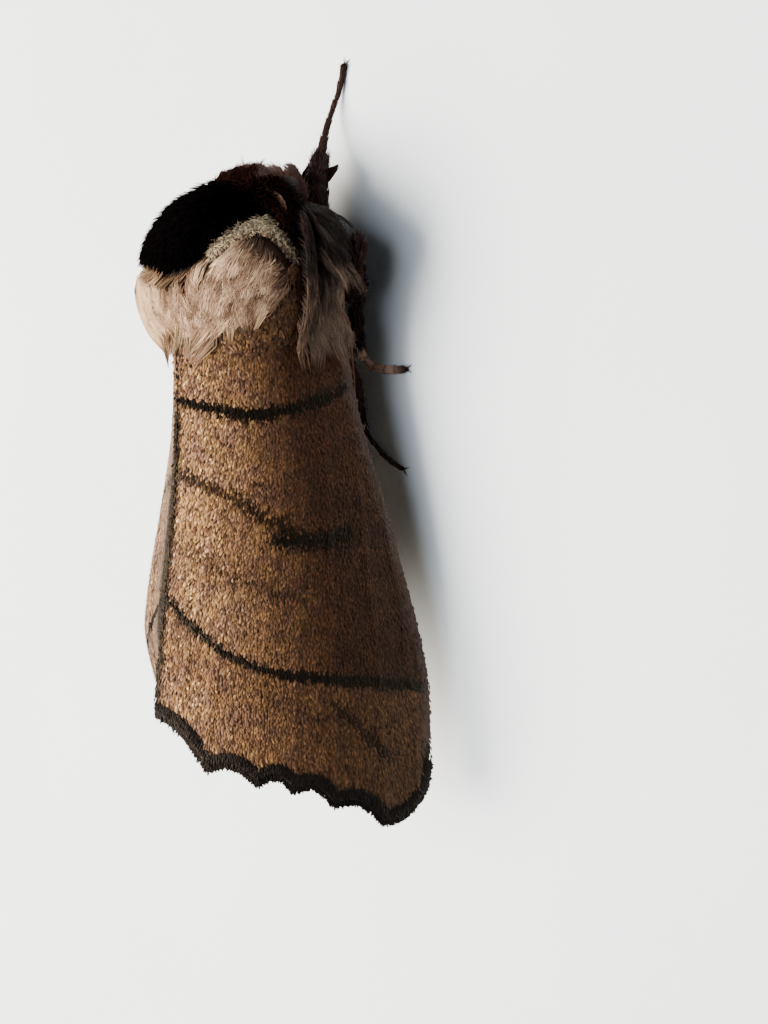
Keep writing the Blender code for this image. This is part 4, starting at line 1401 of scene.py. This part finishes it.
# Antennae: ringed threads swept back under the wings, warm and pale at the base
antennaForm = {
    # root and tail: sideways, station, height; hug: degrees round the thorax, station, rise
    "root": ((0.8, 0.8, 4.6), (1.3, 0.6, 4.85)),
    "hug": ((71, 1.25, .3), (78, 2.0, -.3), (88, 3.0, -.35), (98, 4.0, -.3), (106, 4.9, -.2)),
    "tail": ((3.75, 5.9, 2.6), (3.4, 7, 2.2), (3.3, 8.3, 2.0), (3.2, 9.4, 1.85)),
    "rings": 46, "points": 230, "around": 12,
}
# warm tan, darker at each ring and towards the tip
warmTan = ((0.0, "#22160f"), (1.0, "#b08059"), (0.5, "#6b4731"))
antennaMaterial = hairMaterial("pale ringed antenna", warmTan, (("dark", "#3a2219", 0.8),), 0.45)


def makeAntenna(side):
    form = antennaForm
    stops = [spot(x, t, u) for x, t, u in form["root"]]
    stops += [thoraxSpot(math.radians(degrees), t, rise) for degrees, t, rise in form["hug"]]
    stops += [spot(x, t, u) for x, t, u in form["tail"]]
    line = evenly(bentLine(np.array(stops) * (sideSign[side], 1, 1), 10), form["points"])[0]
    share = np.linspace(0, 1, len(line))
    ring = np.abs(np.sin(share * form["rings"] * math.pi))
    radii = np.interp(share, (0, 0.03, 0.08, 0.12, 0.6, 1), (0.12, 0.19, 0.18, 0.13, 0.11, 0.05))
    # painted shade: darker beyond the base, where the antenna runs on under the hair and wings
    marks = {"tone": np.interp(share, (0, 0.1, 0.2, 1), (0.9, 0.8, 0.3, 0.2)),
             "dark": 0.6 * ring ** 6 + smoothStep(share, 0.25, 0.5) * 0.3}
    radii = radii * (1 - 0.12 * ring ** 4)
    obj = limbMesh("antennaShaft_" + side, line, radii, form["around"], marks)
    finishPiece(obj, antennaMaterial, "antenna_scales", ["antenna_" + side])


# Palps: a curved pair under the face, dark at the base and pale at the tip
palpForm = {"route": ((.42, .6, 2.3, .28), (.45, -.25, 2.2, .28), (.5, -.35, 2.7, .25)),
            "coat": 0.08, "points": 26, "around": 14, "hairs": 420, "hair": (0.2, 0.34),
            "hairWidth": 0.045}
palpHair = dict(commonHair, lift=0.4, settle=0.3, bury=0.02, bodyRadius=2.0)


def makePalp(side):
    form, count = palpForm, palpForm["hairs"]
    stops = [(sideSign[side] * x, t + stationZero, u, r) for x, t, u, r in form["route"]]
    line = evenly(bentLine(stops, 12), form["points"])[0]
    share = np.linspace(0, 1, len(line))
    radii = (line[:, 3] - form["coat"]) * np.interp(share, (0, 0.9, 1), (1, 0.9, 0.4))
    marks = {"tone": 0 * share + 0.3, "face": 0 * share + 0.5, "pink": 0 * share + 0.5}
    obj = limbMesh("palpSkin_" + side, line[:, :3], radii, form["around"], marks)
    finishPiece(obj, furMaterial, "head_hair", ["palp_" + side])
    tangent, across, top = limbFrames(line[:, :3])
    row = chance.integers(1, len(line) - 1, count)
    turn = chance.uniform(0, 2 * np.pi, count)
    out = swing(across[row], top[row], turn)
    length = chance.uniform(*form["hair"], count)
    lines = hairLines(line[row, :3] + out * radii[row, None], out, tangent[row], length, palpHair)[0]
    pale = smoothStep(share[row], 0.2, 0.7)
    marks = {"tone": randomTones(count, 0.5, 0.2), "face": 1 - pale, "pink": pale}
    hairPiece("palpHair_" + side, "head_hair", furMaterial, lines, out,
              np.full(count, form["hairWidth"]), palpHair, marks,
              mapPlaces(turn / (2 * np.pi), share[row]))


for side in sideSign:
    makeAntenna(side)
    makePalp(side)
print("antennae and palps done")

# Stage: a pale matt board, soft daylight from the far side and a dim sky
board = addPrimitive("board", bpy.ops.mesh.primitive_plane_add, size=1.2, location=(0, 0, 0))
board.data.materials.append(grainedMaterial(
    "pale painted board", {"Roughness": 0.7}, "TexNoise", {"Scale": 60.0, "Detail": 4.0},
    ((0.3, "#c9d1d6"), (0.7, "#d0d8dc"))))

lights = {
    "keyLight": {"from": (103.0, 25.0, 183.0), "size": 0.22, "watts": 3.3, "colour": "#fff4e6"},
    "topLight": {"from": (0.0, 0.0, 260.0), "size": 0.26, "watts": 0.9, "colour": "#eef4ff"},
}
for name, light in lights.items():
    source = bpy.data.lights.new(name, "AREA")
    source.shape, source.size, source.energy = "DISK", light["size"], light["watts"]
    source.color = linear(light["colour"])[:3]
    lamp = bpy.data.objects.new(name, source)
    bpy.context.scene.collection.objects.link(lamp)
    lamp.location = Vector(light["from"]) * mm
    lamp.rotation_euler = (-lamp.location).to_track_quat("-Z", "Y").to_euler()
sky = bpy.data.worlds.new("soft sky")
sky.use_nodes = True
sky.node_tree.nodes["Background"].inputs["Color"].default_value = linear("#e4eef8")
sky.node_tree.nodes["Background"].inputs["Strength"].default_value = 0.1
bpy.context.scene.world = sky
print("stage set")
